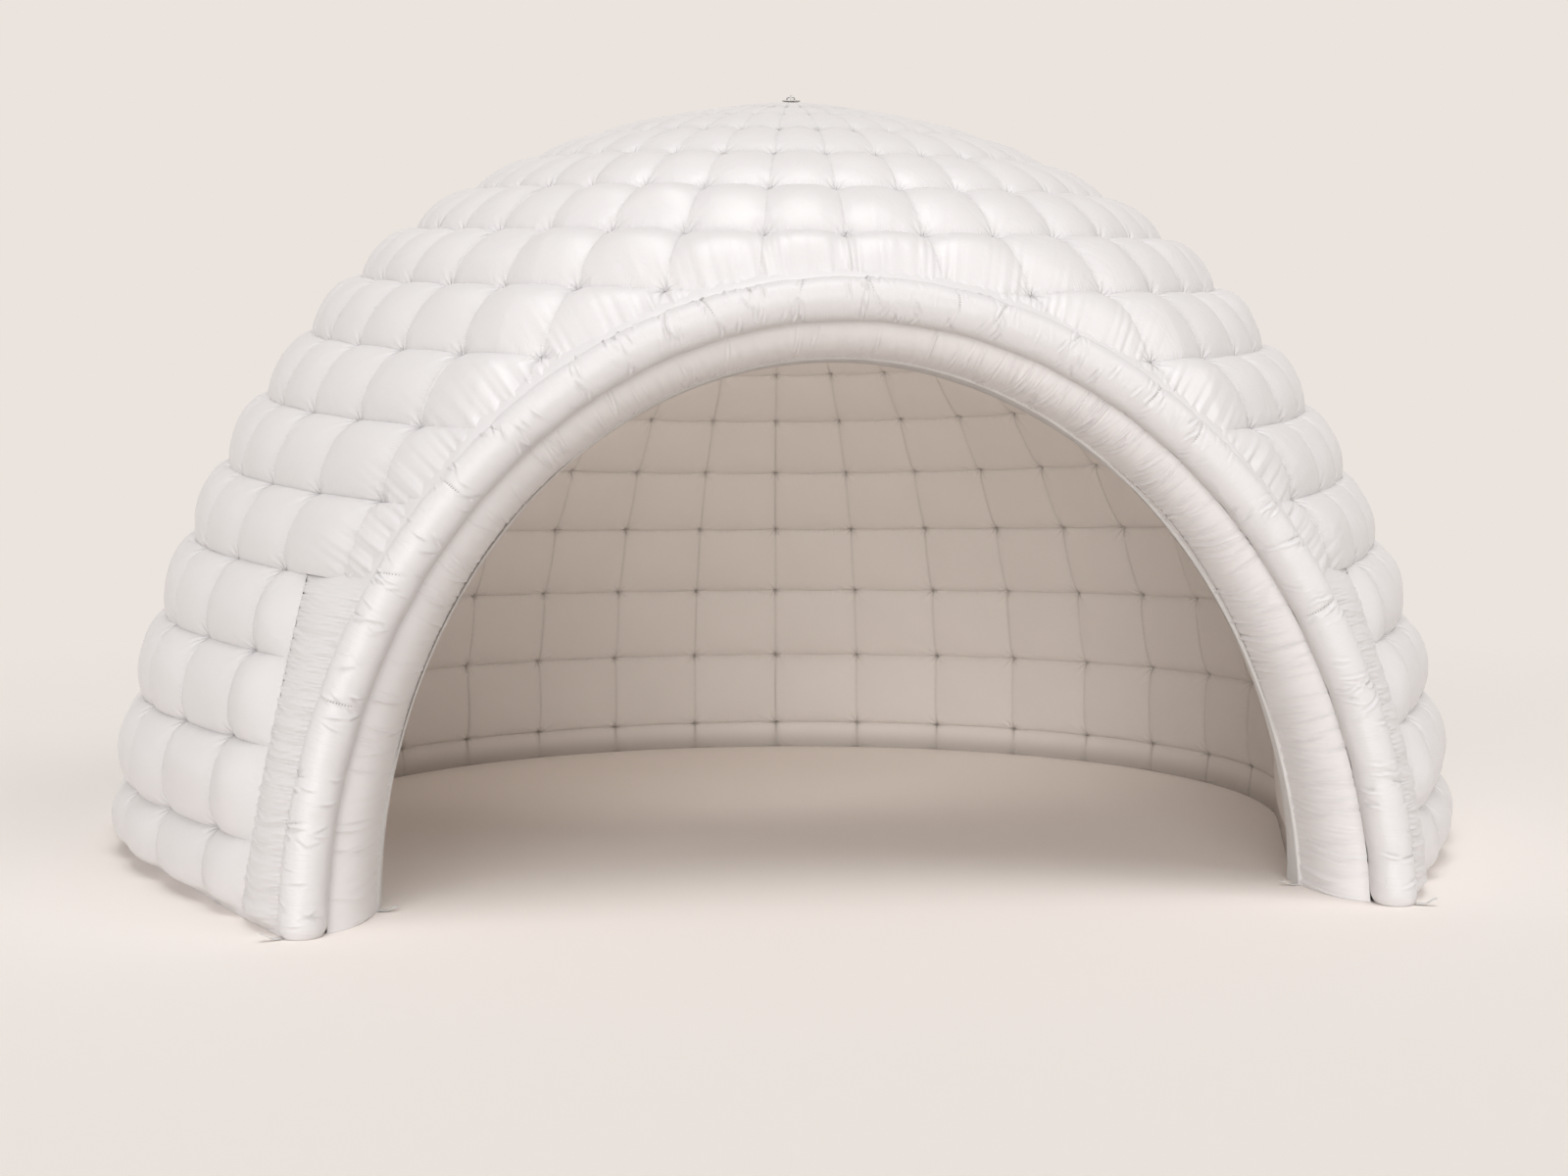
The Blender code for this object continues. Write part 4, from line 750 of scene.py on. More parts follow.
def build_jamb(surface):
    """The curved cloth between the tube and the lip, finely wrinkled across."""
    creases = jamb_creases()

    def wrinkles(u, along):
        height = 0.0018 * ripple(along + 0.05 * u, 0.06, 3.1) * arc(u)
        height = height + 0.0016 * ripple(along, 0.024, 4.4) * u**3
        for spot, far, slant, size in creases:
            near = np.abs(along - spot) < 0.06
            across = u[near] - far
            line = along[near] - spot - slant * 0.10 * across
            ridge = fold(line, 0.0045, 0.009, 0.005, 0.8)
            height[near] += CREASE_RISE * size * hump(across, 0.30) * ridge
        return height

    def place(u, v):
        here, outward, forward = arch_axes(v)
        radius = TUBE_RADIUS - 0.002
        start = here + (outward * math.cos(JAMB_START) + forward * math.sin(JAMB_START)) * radius
        end = arch_line(v, LIP_HALF_WIDTH + JAMB_LAP, LIP_HEIGHT + JAMB_LAP, LIP_DEPTH)
        bulge = forward - outward
        bulge = bulge / np.linalg.norm(bulge, axis=-1, keepdims=True)
        along = v * ARCH_LENGTH
        swell = JAMB_BULGE * arc(u**0.9) + wrinkles(u, along)
        spots = start + (end - start) * u[..., None] + bulge * swell[..., None]
        spots[..., 2] = np.maximum(spots[..., 2], 0.0) * smoothstep(here[..., 2] / 0.10)
        # The crease value is painted shade along the jamb's edge at the tube.
        return spots, stack(u * JAMB_WIDTH, along), hump(u, 0.05), None

    piece = cloth_piece("jamb_cloth", (24, 2000), place, surface, ["jamb_strip"])
    declare_cut(place, (8, 60))


# The lip tape's section as inward reach and forward rise, in metres
LIP_SECTION = (
    (-0.040, 0.0005), (-0.038, 0.0045), (-0.022, 0.0060), (-0.0185, 0.0030), (-0.015, 0.0062),
    (-0.003, 0.0080), (0.0035, 0.0040), (0.0045, -0.0030), (0.0030, -0.012), (0.0025, -0.045),
)
LIP_TILT = 0.62


def build_lip(surface):
    """A folded tape over the jamb's inner edge: a raised band, a stitched groove, a rolled edge, a return."""
    reach, rise = zip(*LIP_SECTION)
    last = len(LIP_SECTION) - 1

    def place(u, v):
        spot = u * last
        inward = between(u, reach)
        angle = math.pi * v
        x = (LIP_HALF_WIDTH - inward) * np.cos(angle)
        z = (LIP_HEIGHT - inward) * np.sin(angle)
        lip_y = -LIP_DEPTH + ARCH_LEAN * LIP_HEIGHT * np.sin(angle)
        y = lip_y - between(u, rise) + np.where(inward < 0.0, inward * LIP_TILT, 0.0)
        back = ROOM.front(np.abs(x), z) + 0.06
        y = np.where(spot > last - 0.5, np.maximum(back, lip_y + 0.02), y)
        y = y + 0.0007 * ripple(v * ARCH_LENGTH, 0.035, 5.0) * (inward < 0.0)
        crease = np.exp(-((spot - 3.0) ** 2) / 0.12) + 0.8 * np.exp(-(spot**2) / 0.2)
        return stack(x, y, z), stack(spot * 0.008, v * ARCH_LENGTH), np.clip(crease, 0.0, 1.0), None

    piece = cloth_piece("lip_tape", (27, 640), place, surface, ["lip_binding"])
    declare_cut(place, (9, 60))


# The gathered strips: their width, how high they stand between their edges, how far they run up under the
# quilt (in radians), the rise of one cross fold, of a puff between folds and of the narrow and the broad
# puckers along the edges, and how far from a fold its groove lies
STRIP_WIDTH = 0.20
STRIP_STAND = 0.032
STRIP_LAP = 0.022
FOLD_RISE = 0.0058
PUFF_RISE = 0.007
PUCKER_RISE = 0.0062
BROAD_RISE = 0.0052
FOLD_GROOVE = 0.022


def build_strip(name, hand, replaced, surface):
    """The gathered strip between quilt and tube: a ladder of cross folds, each at its place with a size and
    a slant, and puckered edges."""
    folds = spaced(0.03, 1.20, (0.04, 0.16), (0.2, 1.0), (-0.05, 0.05))
    top = SHELL_SEAMS[STRIP_TOP_ROW] + STRIP_LAP

    def relief(u, along):
        height = STRIP_STAND * arc(np.clip(u, 0.0, 1.0)) ** 0.7
        crease = np.zeros_like(u)
        gap = np.full_like(u, FAR)
        for spot, size, slant in folds:
            line = along - spot - slant * (u - 0.5)
            ridge = fold(line, 0.012, -FOLD_GROOVE, 0.013, 0.8)
            height = height + FOLD_RISE * size * ridge * arc(np.clip(u, 0.02, 0.98)) ** 0.5
            # Painted shade in each fold's groove.
            crease = np.maximum(crease, 0.12 * size * hump(line + FOLD_GROOVE, 0.010))
            gap = np.minimum(gap, np.abs(line))
        height = height + PUFF_RISE * smoothstep(gap / 0.05) * arc(u)
        edge = np.minimum(u, 1.0 - u) * STRIP_WIDTH
        pucker = ripple(along + 0.01 * hand, 0.019, 6.0 + hand, 1.1) * decay(edge, 0.040)
        broad = ripple(along + 0.4 * edge, 0.047, 2.0 + hand) * decay(edge, 0.070)
        height = height + PUCKER_RISE * pucker + BROAD_RISE * broad
        # Painted shade along both edges of the strip.
        return height, np.maximum(crease, hump(edge, 0.004) * 0.8)

    def place(u, v):
        latitude = SHELL.base + (top - SHELL.base) * v
        outer = edge_azimuth(SHELL, latitude, outside_strip) + 0.002
        inner = edge_azimuth(SHELL, latitude, outside_arch)
        azimuth = outer + (inner - outer) * u
        along = (latitude - SHELL.base) * SHELL.radius
        height, crease = relief(u, along)
        height = height * smoothstep((1.0 - v) / 0.12) - 0.003 * smoothstep((v - 0.9) / 0.1)
        spots = SHELL.place(latitude, hand * azimuth, tucked_foot(height, latitude, azimuth))
        return spots, stack(u * STRIP_WIDTH, along), crease, None

    piece = cloth_piece(name, (40, 420), place, surface, replaced, flip=hand > 0)
    declare_cut(place, (2, 12), STRIP_FULLNESS)


# Cloth inside the wall and tabs on the ground

SOLE_START = 0.72
SOLE_INSET = 0.003
WEB_INSET = 0.012
WALL_LENGTH = 2.6


def across_wall(u, v, start, outer, inner):
    """Azimuths round the wall and places across it; outer and inner are each a latitude and an offset."""
    azimuth = start + (math.tau - 2.0 * start) * u
    far = SHELL.place(np.full_like(u, outer[0]), azimuth, outer[1])
    near = ROOM.place(np.full_like(u, inner[0]), azimuth, inner[1])
    return azimuth, near + (far - near) * v[..., None]


def build_sole(surface):
    """The flat cloth that closes the wall from below."""
    outer, inner = (SHELL.base, -FOOT_TUCK - SOLE_INSET), (ROOM.base, SOLE_INSET)

    def place(u, v):
        azimuth, spots = across_wall(u, v, SOLE_START, outer, inner)
        spots[..., 2] = 0.0012 + 0.0008 * np.sin(40.0 * azimuth) * arc(v)
        return spots, stack(azimuth * WALL_LENGTH, v * 0.48), np.zeros_like(u), None

    piece = cloth_piece("sole_cloth", (222, 4), place, surface, ["sole_strip"])
    declare_cut(place, (60, 2))


def build_web(number, outer_row, inner_row, start, surface):
    """A cloth web inside the wall that ties a seam of the skin to a seam of the lining."""
    outer, inner = (SHELL_SEAMS[outer_row], -WEB_INSET), (ROOM_SEAMS[inner_row], WEB_INSET)

    def place(u, v):
        azimuth, spots = across_wall(u, v, math.radians(start), outer, inner)
        spots[..., 2] += 0.006 * arc(v) * np.sin(azimuth * SHELL_COLUMNS / 2)
        return spots, stack(azimuth * WALL_LENGTH, v * 0.5), np.zeros_like(u), None

    name, replaced = f"wall_web_{number}", [f"tie_web_{number}"]
    piece = cloth_piece(name, (180, 5), place, surface, replaced, closed=start == 0.0)
    declare_cut(place, (60, 2))


STRAP_LENGTH = 0.070
STRAP_WIDTH = 0.026


def strap(node, turn, curl, surface):
    """A short webbing tab in this node's place that leaves the ground a little at its free end."""
    cos, sin = math.cos(turn), math.sin(turn)
    low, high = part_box(node)
    middle = (low + high) / 2

    def place(u, v):
        side = (u - 0.5) * STRAP_WIDTH
        reach = (v - 0.5) * STRAP_LENGTH
        lift = 0.0045 + curl * smoothstep(v) ** 2 + 0.0015 * np.sin(9.0 * v)
        x = middle[0] + cos * reach - sin * side
        y = middle[1] - AXIS_Y + sin * reach + cos * side
        return stack(x, y, lift), stack(side, reach), np.zeros_like(u), None

    piece = cloth_piece(node + "_webbing", (10, 24), place, surface, [node])
    thick = piece.modifiers.new("thickness", "SOLIDIFY")
    thick.thickness = WEBBING_THICKNESS
    thick.offset = 1.0
    cut = cut_size(place, 1, 24)


# Materials


def feed(tree, made, inputs):
    """Give a node's sockets, by name or number, constants or the outputs of other nodes."""
    for key, value in inputs.items():
        if isinstance(value, bpy.types.NodeSocket):
            tree.links.new(value, made.inputs[key])
        else:
            made.inputs[key].default_value = value


def add(tree, kind, inputs=None, **settings):
    made = tree.nodes.new("ShaderNode" + kind)
    for key, value in settings.items():
        setattr(made, key, value)
    feed(tree, made, inputs or {})
    return made


def new_material(name, colour, roughness, metallic=0.0):
    made = bpy.data.materials.new(name)
    made.use_nodes = True
    tree = made.node_tree
    shader = tree.nodes["Principled BSDF"]
    feed(tree, shader, {"Base Color": (*colour, 1.0), "Roughness": roughness, "Metallic": metallic})
    return made, tree, shader


def object_place(tree):
    return add(tree, "TexCoord").outputs["Object"]


def maths(tree, operation, *values, clamp=False):
    return add(tree, "Math", dict(enumerate(values)), operation=operation, use_clamp=clamp).outputs[0]


def noise(tree, vector, scale, detail=3.0, roughness=0.55, distortion=0.0):
    inputs = {"Vector": vector, "Scale": scale, "Detail": detail}
    inputs |= {"Roughness": roughness, "Distortion": distortion}
    return add(tree, "TexNoise", inputs).outputs["Fac"]


def stretched(tree, vector, scale):
    return add(tree, "Mapping", {"Vector": vector, "Scale": scale}).outputs["Vector"]


def ranged(tree, value, low, high):
    return add(tree, "MapRange", {"Value": value, "To Min": low, "To Max": high}).outputs["Result"]


def tinted(colour, share):
    return tuple(min(1.0, part * share) for part in colour)


def mixed_colour(tree, factor, first, second):
    first, second = ((*part, 1.0) if isinstance(part, tuple) else part for part in (first, second))
    return add(tree, "Mix", {"Factor": factor, 6: first, 7: second}, data_type="RGBA").outputs[2]


def bump(tree, height, distance, strength, below=None):
    inputs = {"Height": height, "Distance": distance, "Strength": strength}
    if below is not None:
        inputs["Normal"] = below
    return add(tree, "Bump", inputs).outputs["Normal"]


def dots(tree, along, spacing):
    return maths(tree, "SINE", maths(tree, "MULTIPLY", along, math.tau / spacing))


# What a cloth's detail works with: the node tree, places on the object and on the cloth, how much painted
# shade each spot's crease gets, and the colour of that painted shade
Cloth = namedtuple("Cloth", "tree solid flat crease deep")
FADE_BASE = 2.718
RAYS = 9.0


def split_flat(cloth):
    return add(cloth.tree, "SeparateXYZ", {"Vector": cloth.flat}).outputs


def quilt_detail(cloth, base, normal):
    """Fine folds that run out from the tufts and lie across the seams."""
    tree = cloth.tree
    names = ("ADD", "SUBTRACT", "MULTIPLY", "POWER")
    plus, minus, times, power = (partial(maths, tree, name) for name in names)
    parts = split_flat(cloth)
    u, v = (minus(maths(tree, "FRACT", plus(parts[axis], 0.5)), 0.5) for axis in ("X", "Y"))
    turn = maths(tree, "ARCTAN2", v, u)
    far = maths(tree, "SQRT", plus(times(u, u), times(v, v)))
    jog = times(noise(tree, cloth.solid, 9.0, 2.0), 7.0)
    rays = maths(tree, "SINE", plus(times(turn, RAYS), jog))
    rays = power(plus(times(rays, 0.5), 0.5), 1.6)
    rays = times(rays, power(FADE_BASE, times(far, -9.0)))
    normal = bump(tree, rays, 0.009, 0.7, normal)
    for offset, fade, stretch, scale, depth in (
        (u, -26.0, (3.0, 26.0, 1.0), 3.0, 0.010),
        (v, -16.0, (30.0, 3.0, 1.0), 1.6, 0.012),
    ):
        line = power(FADE_BASE, times(maths(tree, "ABSOLUTE", offset), fade))
        folds = noise(tree, stretched(tree, cloth.flat, stretch), scale, 2.0)
        normal = bump(tree, times(folds, line), depth, 0.6, normal)
    return base, normal


def fine_gathers(cloth, normal):
    folds = noise(cloth.tree, stretched(cloth.tree, cloth.flat, (9.0, 70.0, 1.0)), 1.0, 4.0, 0.6, 0.4)
    return bump(cloth.tree, folds, 0.006, 0.45, normal)


def tube_detail(cloth, base, normal):
    """Fine gathers, and stitches along the cross seams."""
    tree = cloth.tree
    row = dots(tree, split_flat(cloth)["X"], 0.011)
    row = maths(tree, "MULTIPLY", maths(tree, "ADD", row, 0.6), cloth.crease)
    stitch = maths(tree, "MULTIPLY", maths(tree, "GREATER_THAN", row, 0.75), 0.55)
    return mixed_colour(tree, stitch, base, tinted(cloth.deep, 0.30)), fine_gathers(cloth, normal)


def strip_detail(cloth, base, normal):
    """Fine gathers, and needle holes along the edge."""
    tree = cloth.tree
    parts = split_flat(cloth)
    edge = maths(tree, "LESS_THAN", parts["X"], 0.004)
    hole = maths(tree, "MULTIPLY", maths(tree, "GREATER_THAN", dots(tree, parts["Y"], 0.014), 0.35), edge)
    hole = maths(tree, "MULTIPLY", hole, 0.35)
    return mixed_colour(tree, hole, base, tinted(cloth.deep, 0.4)), fine_gathers(cloth, normal)


def coated_cloth(name, colour, deep, roughness, detail=None, broad=0.5, shading=0.3, gloss_coat=0.25):
    """Satin coated cloth with painted shade in its creases; detail adds what lies along this cloth's seams.
    """
    made, tree, shader = new_material(name, colour, roughness)
    feed(tree, shader, {"Specular IOR Level": 0.5, "Coat Weight": gloss_coat, "Coat Roughness": 0.34})
    flat = add(tree, "UVMap", uv_map="cloth").outputs["UV"]
    crease = add(tree, "Attribute", attribute_name="crease").outputs["Fac"]
    cloth = Cloth(tree, object_place(tree), flat, crease, deep)
    patch = noise(tree, cloth.solid, 1.9, 4.0)
    base = mixed_colour(tree, patch, tinted(colour, 0.955), tinted(colour, 1.03))
    # Painted shade: the crease attribute darkens the colour towards the deep colour in creases, seams and
    # tufts.
    base = mixed_colour(tree, maths(tree, "MULTIPLY", crease, shading, clamp=True), base, deep)
    normal = bump(tree, noise(tree, cloth.solid, 5.5, 5.0, 0.62, 0.9), 0.010, broad)
    if detail:
        base, normal = detail(cloth, base, normal)
    normal = bump(tree, noise(tree, cloth.solid, 420.0, 1.0), 0.0009, 0.35, normal)
    gloss = ranged(tree, noise(tree, cloth.solid, 7.0), roughness - 0.06, roughness + 0.08)
    feed(tree, shader, {"Roughness": gloss, "Base Color": base, "Normal": normal})
    return made


def woven(name, colour, roughness):
    """Coarser webbing with a ribbed weave."""
    made, tree, shader = new_material(name, colour, roughness)
    solid = object_place(tree)
    rib = add(tree, "TexWave", {"Scale": 110.0, "Distortion": 1.5, "Vector": solid}).outputs["Fac"]
    base = mixed_colour(tree, noise(tree, solid, 14.0), tinted(colour, 0.93), tinted(colour, 1.02))
    feed(tree, shader, {"Sheen Weight": 0.2, "Base Color": base, "Normal": bump(tree, rib, 0.0012, 0.4)})
    return made


def moulded(name, colour, roughness, metallic=0.0, grain=260.0):
    """Moulded plastic or drawn metal with a fine grain and slight wear."""
    made, tree, shader = new_material(name, colour, roughness, metallic)
    solid = object_place(tree)
    wear = noise(tree, solid, 22.0, 4.0)
    base = mixed_colour(tree, wear, tinted(colour, 0.86), tinted(colour, 1.12))
    gloss = ranged(tree, wear, roughness - 0.08, roughness + 0.10)
    normal = bump(tree, noise(tree, solid, grain, 2.0), 0.0008, 0.35)
    feed(tree, shader, {"Base Color": base, "Roughness": gloss, "Normal": normal})
    return made


WHITE = (0.72, 0.698, 0.698)
# Painted light: the jamb's white is lighter than the shell's, to make up for the light the jamb faces away
# from.
JAMB_WHITE_PAINTED_LIGHT = (0.84, 0.815, 0.815)
# The two deep colours are the painted shade in creases, seams and tufts; stitches and needle holes are darker
# tints of them.
WHITE_PAINTED_SHADE = (0.50, 0.475, 0.465)
LINING = (0.68, 0.632, 0.595)
LINING_PAINTED_SHADE = (0.36, 0.32, 0.29)

shell_cloth = coated_cloth("shell cloth", WHITE, WHITE_PAINTED_SHADE, 0.39, quilt_detail, gloss_coat=0.32)
tube_cloth = coated_cloth("arch tube cloth", WHITE, WHITE_PAINTED_SHADE, 0.44, tube_detail, 0.4, 0.3, 0.15)
strip_cloth = coated_cloth("gathered strip cloth", WHITE, WHITE_PAINTED_SHADE, 0.42, strip_detail)
plain_cloth = coated_cloth("plain coated cloth", WHITE, WHITE_PAINTED_SHADE, 0.40, broad=0.3)
# The jamb cloth is a lighter copy of the white cloth, as painted light.
jamb_cloth = coated_cloth("jamb cloth", JAMB_WHITE_PAINTED_LIGHT, WHITE_PAINTED_SHADE, 0.42, broad=0.3)
lining_cloth = coated_cloth("lining cloth", LINING, LINING_PAINTED_SHADE, 0.55, quilt_detail, 0.35, 0.5, 0.1)
# A shaded copy of the lining cloth, with stronger painted shade in its creases and towards the ground.
lining_base_shaded_cloth = coated_cloth("lining base cloth", LINING, LINING_PAINTED_SHADE, 0.55, quilt_detail, 0.35, 0.85, 0.1)
inner_cloth = coated_cloth("wall web cloth", LINING, LINING_PAINTED_SHADE, 0.6)
tape = woven("edge tape", (0.70, 0.68, 0.665), 0.7)
dark_plastic = moulded("dark moulded plastic", (0.035, 0.035, 0.038), 0.45)
grey_plastic = moulded("grey moulded plastic", (0.22, 0.225, 0.23), 0.48)
pale_plastic = moulded("pale moulded plastic", (0.62, 0.60, 0.57), 0.32)
steel = moulded("brushed steel", (0.50, 0.50, 0.52), 0.32, 1.0, 340.0)


# The pieces


def build_shell():
    rear_end = SHELL_COLUMNS - FRONT_COLUMNS
    for tier in range(TIERS):
        parts = {"": (0, SHELL_COLUMNS)}
        if tier in FRONT_TIERS:
            parts = {
                "_front_right": (0, FRONT_COLUMNS),
                "_rear": (FRONT_COLUMNS, rear_end),
                "_front_left": (rear_end, SHELL_COLUMNS),
            }
        rows = (tier * TIER_ROWS, tier * TIER_ROWS + TIER_ROWS)
        for part, columns in parts.items():
            name = f"shell_tier_{tier + 1}{part}"
            shell_piece(name, rows, columns, "front" in part, [f"outer_tier_{tier + 1}"], shell_cloth)
    crown_piece(
        "shell_crown", SHELL, SHELL_SEAMS[-1], SHELL_COLUMNS, 0.0, SHELL_CROWN_RISE,
        ["outer_crown"], shell_cloth,
    )


def build_room():
    room_piece("lining_base_band", (0, 1), ["inner_base_band"], lining_base_shaded_cloth)
    for tier in range(ROOM_TIERS):
        rows = (1 + 3 * tier, 4 + 3 * tier)
        room_piece(f"lining_tier_{tier + 1}", rows, [f"inner_tier_{tier + 1}"], lining_cloth)
    crown_piece(
        "lining_crown", ROOM, ROOM_SEAMS[-1], ROOM_COLUMNS, ROOM_TURN, -ROOM_CROWN_RISE,
        ["inner_crown"], lining_cloth,
    )


# For each web: the seam of the skin, the seam of the lining, and at how many degrees from the front it starts
WEB_ROWS = ((2, 2, 64.0), (5, 4, 48.0), (8, 6, 34.0), (11, 8, 0.0), (14, 10, 0.0))

build_shell()
build_room()
build_tube(tube_cloth)
build_flange(plain_cloth)
build_jamb(jamb_cloth)
build_lip(tape)
build_strip("gathered_strip_right", 1.0, ["strip_right"], strip_cloth)
build_strip("gathered_strip_left", -1.0, ["strip_left"], strip_cloth)
build_sole(inner_cloth)
for number, (outer_row, inner_row, start) in enumerate(WEB_ROWS):
    build_web(number + 1, outer_row, inner_row, start, inner_cloth)


def finish_solids():
    """Better materials for the solid pieces whose shape is already right."""
    finishes = {
        dark_plastic: ("fan_cable_inlet", "fan_impeller", "fan_motor", "fan_switch_frame"),
        grey_plastic: ("fan_guard", "fan_housing", "fan_spider", "zip_teeth"),
        pale_plastic: ("crown_anchor", "fan_switch_rocker"),
        steel: ("crown_ring", "zip_slider", "zip_pull"),
    }
    for surface, nodes in finishes.items():
        for node in nodes:
            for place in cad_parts[node].material_slots:
                place.material = surface


finish_solids()


def add_box(bm, low, high):
    """A box with these corners."""
    bmesh.ops.create_cube(bm, size=1.0)
    bmesh.ops.scale(bm, verts=bm.verts, vec=high - low)
    bmesh.ops.translate(bm, verts=bm.verts, vec=(low + high) / 2)


def soft_box(name, mesh, surface, node, body, rounding, segments):
    """The piece for a box-like mesh, with soft rounded edges and no painted crease shade."""
    mesh.attributes.new("crease", "FLOAT", "POINT")
    made = mesh_piece(name, mesh, surface, [node], body)
    soft = made.modifiers.new("soft edges", "BEVEL")
    soft.width = rounding
    soft.segments = segments
    soft.limit_method = "ANGLE"
    return made


def flat_box_piece(name, node, surface, body=TENT, rounding=0.0004, sag=0.0):
    """A cloth piece in the place of a thin CAD node, with a slight sag."""
    low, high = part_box(node)
    size = high - low
    mesh = bpy.data.meshes.new(name)
    with editing(mesh) as bm:
        add_box(bm, low, high)
        bmesh.ops.subdivide_edges(bm, edges=bm.edges, cuts=14, use_grid_fill=True)
        for v in bm.verts:
            across = (v.co.x - low.x) / size.x
            up = (v.co.z - low.z) / size.z
            v.co.y += sag * math.sin(math.pi * across) * math.sin(3.0 * math.pi * up)
            v.co.x += 0.25 * sag * math.sin(7.0 * up)
        bmesh.ops.recalc_face_normals(bm, faces=bm.faces)
    made = soft_box(name, mesh, surface, node, body, rounding, 3)


POCKET_WALL = 0.003


def pocket_piece():
    """The cloth pocket round the zip: an open box with a rolled rim."""
    low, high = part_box("zip_pocket")
    mesh = bpy.data.meshes.new("zip_pocket_cloth")
    with editing(mesh) as bm:
        add_box(bm, low, high)
        mouth = [face for face in bm.faces if face.normal.y > 0.9]
        bmesh.ops.inset_region(bm, faces=mouth, thickness=POCKET_WALL, depth=0.0)
        facing = [face for face in bm.faces if face.normal.y > 0.9]
        inner = min(facing, key=lambda face: max(abs(v.co.x) for v in face.verts))
        moved = bmesh.ops.extrude_face_region(bm, geom=[inner])["geom"]
        floor = [item for item in moved if isinstance(item, bmesh.types.BMVert)]
        bmesh.ops.translate(bm, verts=floor, vec=Vector((0.0, low.y - high.y + POCKET_WALL, 0.0)))
        bmesh.ops.delete(bm, geom=[inner], context="FACES_ONLY")
        bmesh.ops.recalc_face_normals(bm, faces=bm.faces)
    made = soft_box(mesh.name, mesh, plain_cloth, "zip_pocket", TENT, 0.0012, 2)


pocket_piece()
flat_box_piece("zip_tape_cloth", "zip_tape", tape)
flat_box_piece(
    "zip_flap_cloth", "zip_flap", plain_cloth, "flap", 0.0014, 0.0006
)

for node, turn, curl in (
    ("tie_tab_outer_right", math.radians(-30.0), 0.022),
    ("tie_tab_outer_left", math.radians(210.0), 0.022),
    ("tie_tab_inner_right", math.pi, 0.012),
    ("tie_tab_inner_left", 0.0, 0.012),
):
    strap(node, turn, curl, tape)


# Floor, lamps and camera
BACKDROP = (0.83, 0.775, 0.73)
FLOOR = (0.95, 0.89, 0.845)
FLOOR_RADIUS = 60.0
FLOOR_FADE_START = 4.5
FLOOR_FADE_END = 16.0
WORLD_LIGHT = 0.31
WORLD_TINT = (1.0, 0.985, 0.965, 1.0)


def build_floor():
    """A pale floor that fades into the backdrop's colour."""
    mesh = bpy.data.meshes.new("studio_floor")
    with editing(mesh) as bm:
        bmesh.ops.create_circle(bm, cap_ends=True, segments=96, radius=FLOOR_RADIUS)
    made = new_object("studio_floor", mesh)
    surface, tree, shader = new_material("studio floor", FLOOR, 0.85)
    feed(tree, shader, {"Specular IOR Level": 0.15})
    far = add(tree, "VectorMath", {0: object_place(tree)}, operation="LENGTH").outputs["Value"]
    span = {"Value": far, "From Min": FLOOR_FADE_START, "From Max": FLOOR_FADE_END}
    fade = add(tree, "MapRange", span, interpolation_type="SMOOTHSTEP").outputs["Result"]
    glow = add(tree, "Emission", {"Color": (*BACKDROP, 1.0)}).outputs["Emission"]
    both = add(tree, "MixShader", {"Fac": fade, 1: shader.outputs["BSDF"], 2: glow}).outputs["Shader"]
    feed(tree, tree.nodes["Material Output"], {"Surface": both})
    mesh.materials.append(surface)
    made.location = (0.0, 0.0, -0.0005)


def build_world():
    """A dim, even light from everywhere; the camera and reflections see the backdrop's colour instead."""
    world = bpy.data.worlds.new("studio")
    bpy.context.scene.world = world
    world.use_nodes = True
    tree = world.node_tree
    tree.nodes.clear()
    light = add(tree, "Background", {"Strength": WORLD_LIGHT, "Color": WORLD_TINT}).outputs[0]
    seen = add(tree, "Background", {"Strength": 1.0, "Color": (*BACKDROP, 1.0)}).outputs[0]
    path = add(tree, "LightPath").outputs
    shown = maths(tree, "MAXIMUM", path["Is Camera Ray"], path["Is Glossy Ray"])
    shown = maths(tree, "MAXIMUM", shown, path["Is Transmission Ray"])
    mix = add(tree, "MixShader", {"Fac": shown, 1: light, 2: seen}).outputs[0]
    add(tree, "OutputWorld", {"Surface": mix})


def new_lamp(name, kind, energy, direction, **settings):
    """A lamp that shines in this direction."""
    lamp = bpy.data.lights.new(name, kind)
    lamp.energy = energy
    for key, value in settings.items():
        setattr(lamp, key, value)
    made = new_object(name, lamp)
    made.rotation_euler = Vector(direction).to_track_quat("-Z", "Y").to_euler()
    return made


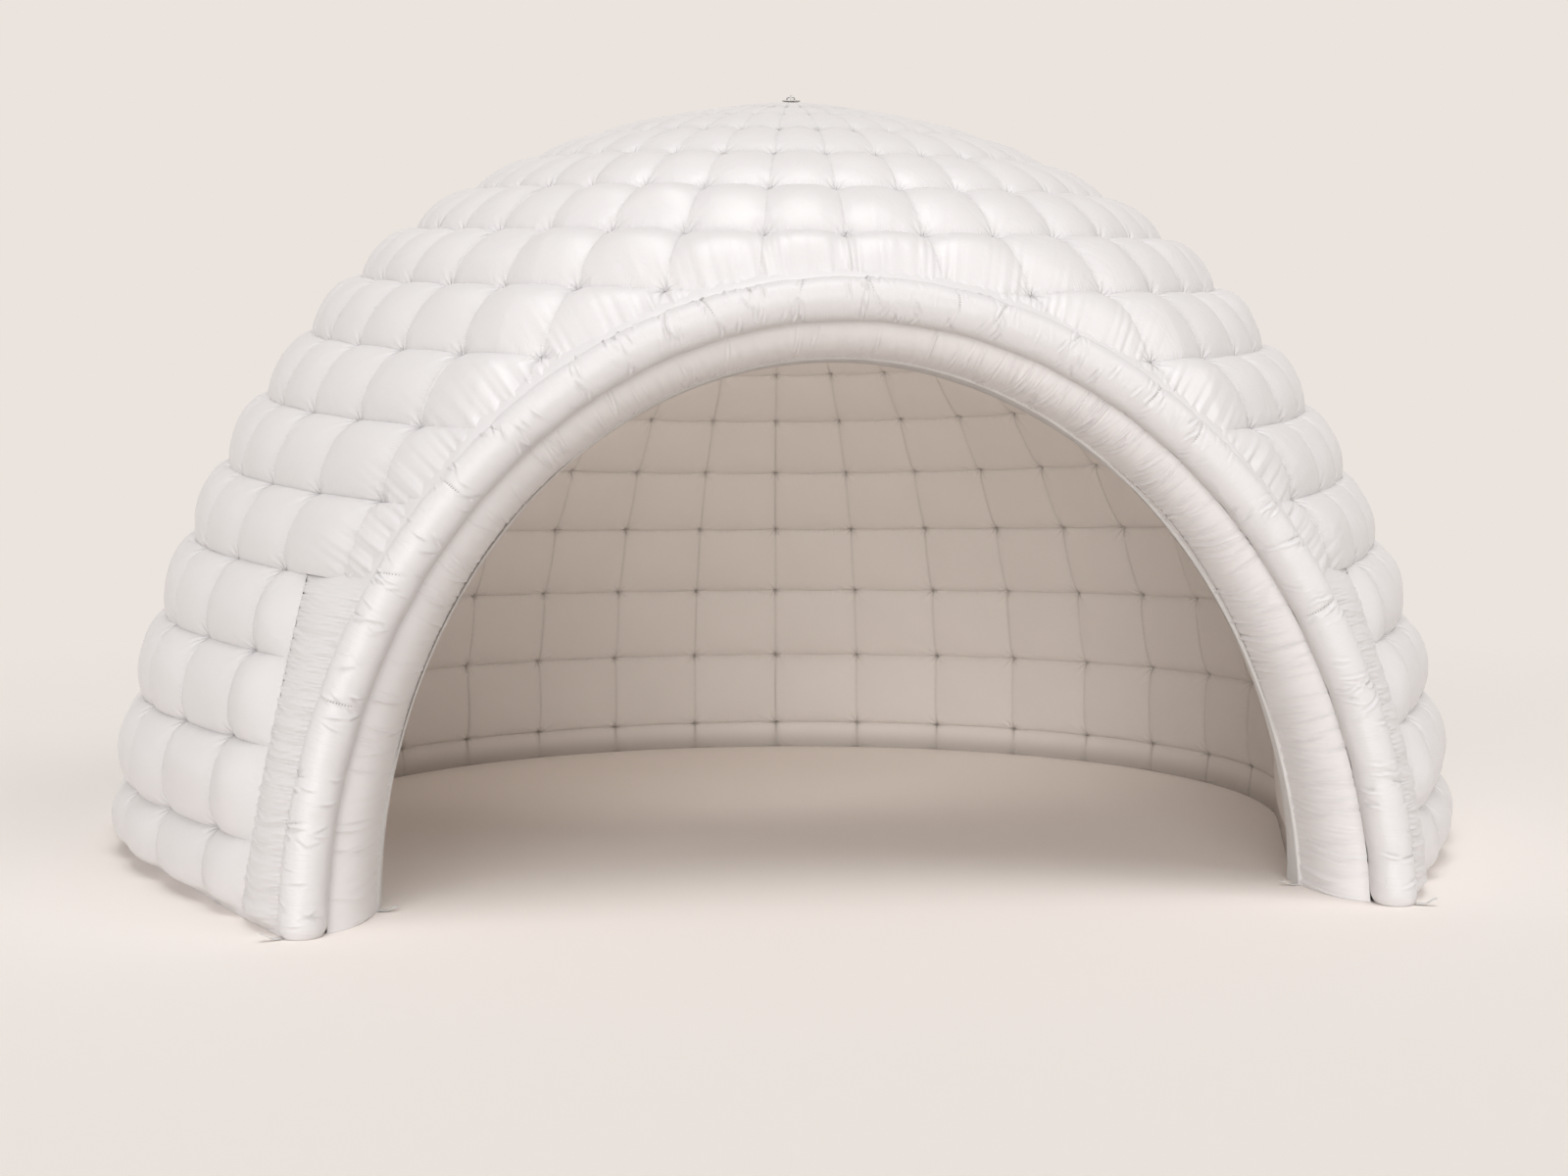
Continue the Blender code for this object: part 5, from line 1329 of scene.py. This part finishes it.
def soft_sun(name, turn, height, spread, strength):
    """A very soft lamp far away; turn goes from the front to the left, height up from the floor."""
    turn, height = math.radians(turn), math.radians(height)
    direction = (math.sin(turn) * math.cos(height), math.cos(turn) * math.cos(height), -math.sin(height))
    new_lamp(name, "SUN", strength, direction, angle=math.radians(spread))


DOOR_LIGHT_PLACE = (0.0, -1.6, 1.1)
DOOR_LIGHT_AIM = (0.0, 1.0, 0.23)
DOOR_LIGHT_SIZE = (2.2, 1.0)
DOOR_LIGHT_WATTS = 15.5
DOOR_LIGHT_SPREAD = math.radians(115.0)
DOOR_LIGHT_TINT = (1.0, 0.95, 0.90)


def build_door_light():
    """A soft panel just inside the arch that lights the room; it shows neither directly nor in gloss."""
    wide, tall = DOOR_LIGHT_SIZE
    made = new_lamp(
        "door light", "AREA", DOOR_LIGHT_WATTS, DOOR_LIGHT_AIM,
        shape="RECTANGLE", size=wide, size_y=tall, spread=DOOR_LIGHT_SPREAD, color=DOOR_LIGHT_TINT,
    )
    made.location = DOOR_LIGHT_PLACE
    made.visible_camera = False
    made.visible_glossy = False


LENS = 39.47
SENSOR = 36.0
CAMERA_PLACE = (-0.941, -8.231, 1.287)
CAMERA_HEADING = math.radians(6.603)
CAMERA_DROP = math.radians(1.676)
CAMERA_ROLL = math.radians(-0.259)


def build_camera():
    lens = bpy.data.cameras.new("camera")
    lens.lens = LENS
    lens.sensor_width = SENSOR
    made = new_object("camera", lens)
    turn = Matrix.Rotation(-CAMERA_HEADING, 4, "Z") @ Matrix.Rotation(math.pi / 2 - CAMERA_DROP, 4, "X")
    turn = turn @ Matrix.Rotation(CAMERA_ROLL, 4, "Z")
    x, y, z = CAMERA_PLACE
    made.matrix_world = Matrix.Translation((x, y + AXIS_Y, z)) @ turn
    bpy.context.scene.camera = made


build_floor()
build_world()
soft_sun("top light", turn=0.0, height=78.0, spread=34.0, strength=1.05)
soft_sun("front light", turn=17.0, height=10.0, spread=40.0, strength=1.90)
soft_sun("right light", turn=-58.0, height=42.0, spread=30.0, strength=0.45)
build_door_light()
build_camera()
bpy.context.scene.view_settings.view_transform = "Standard"
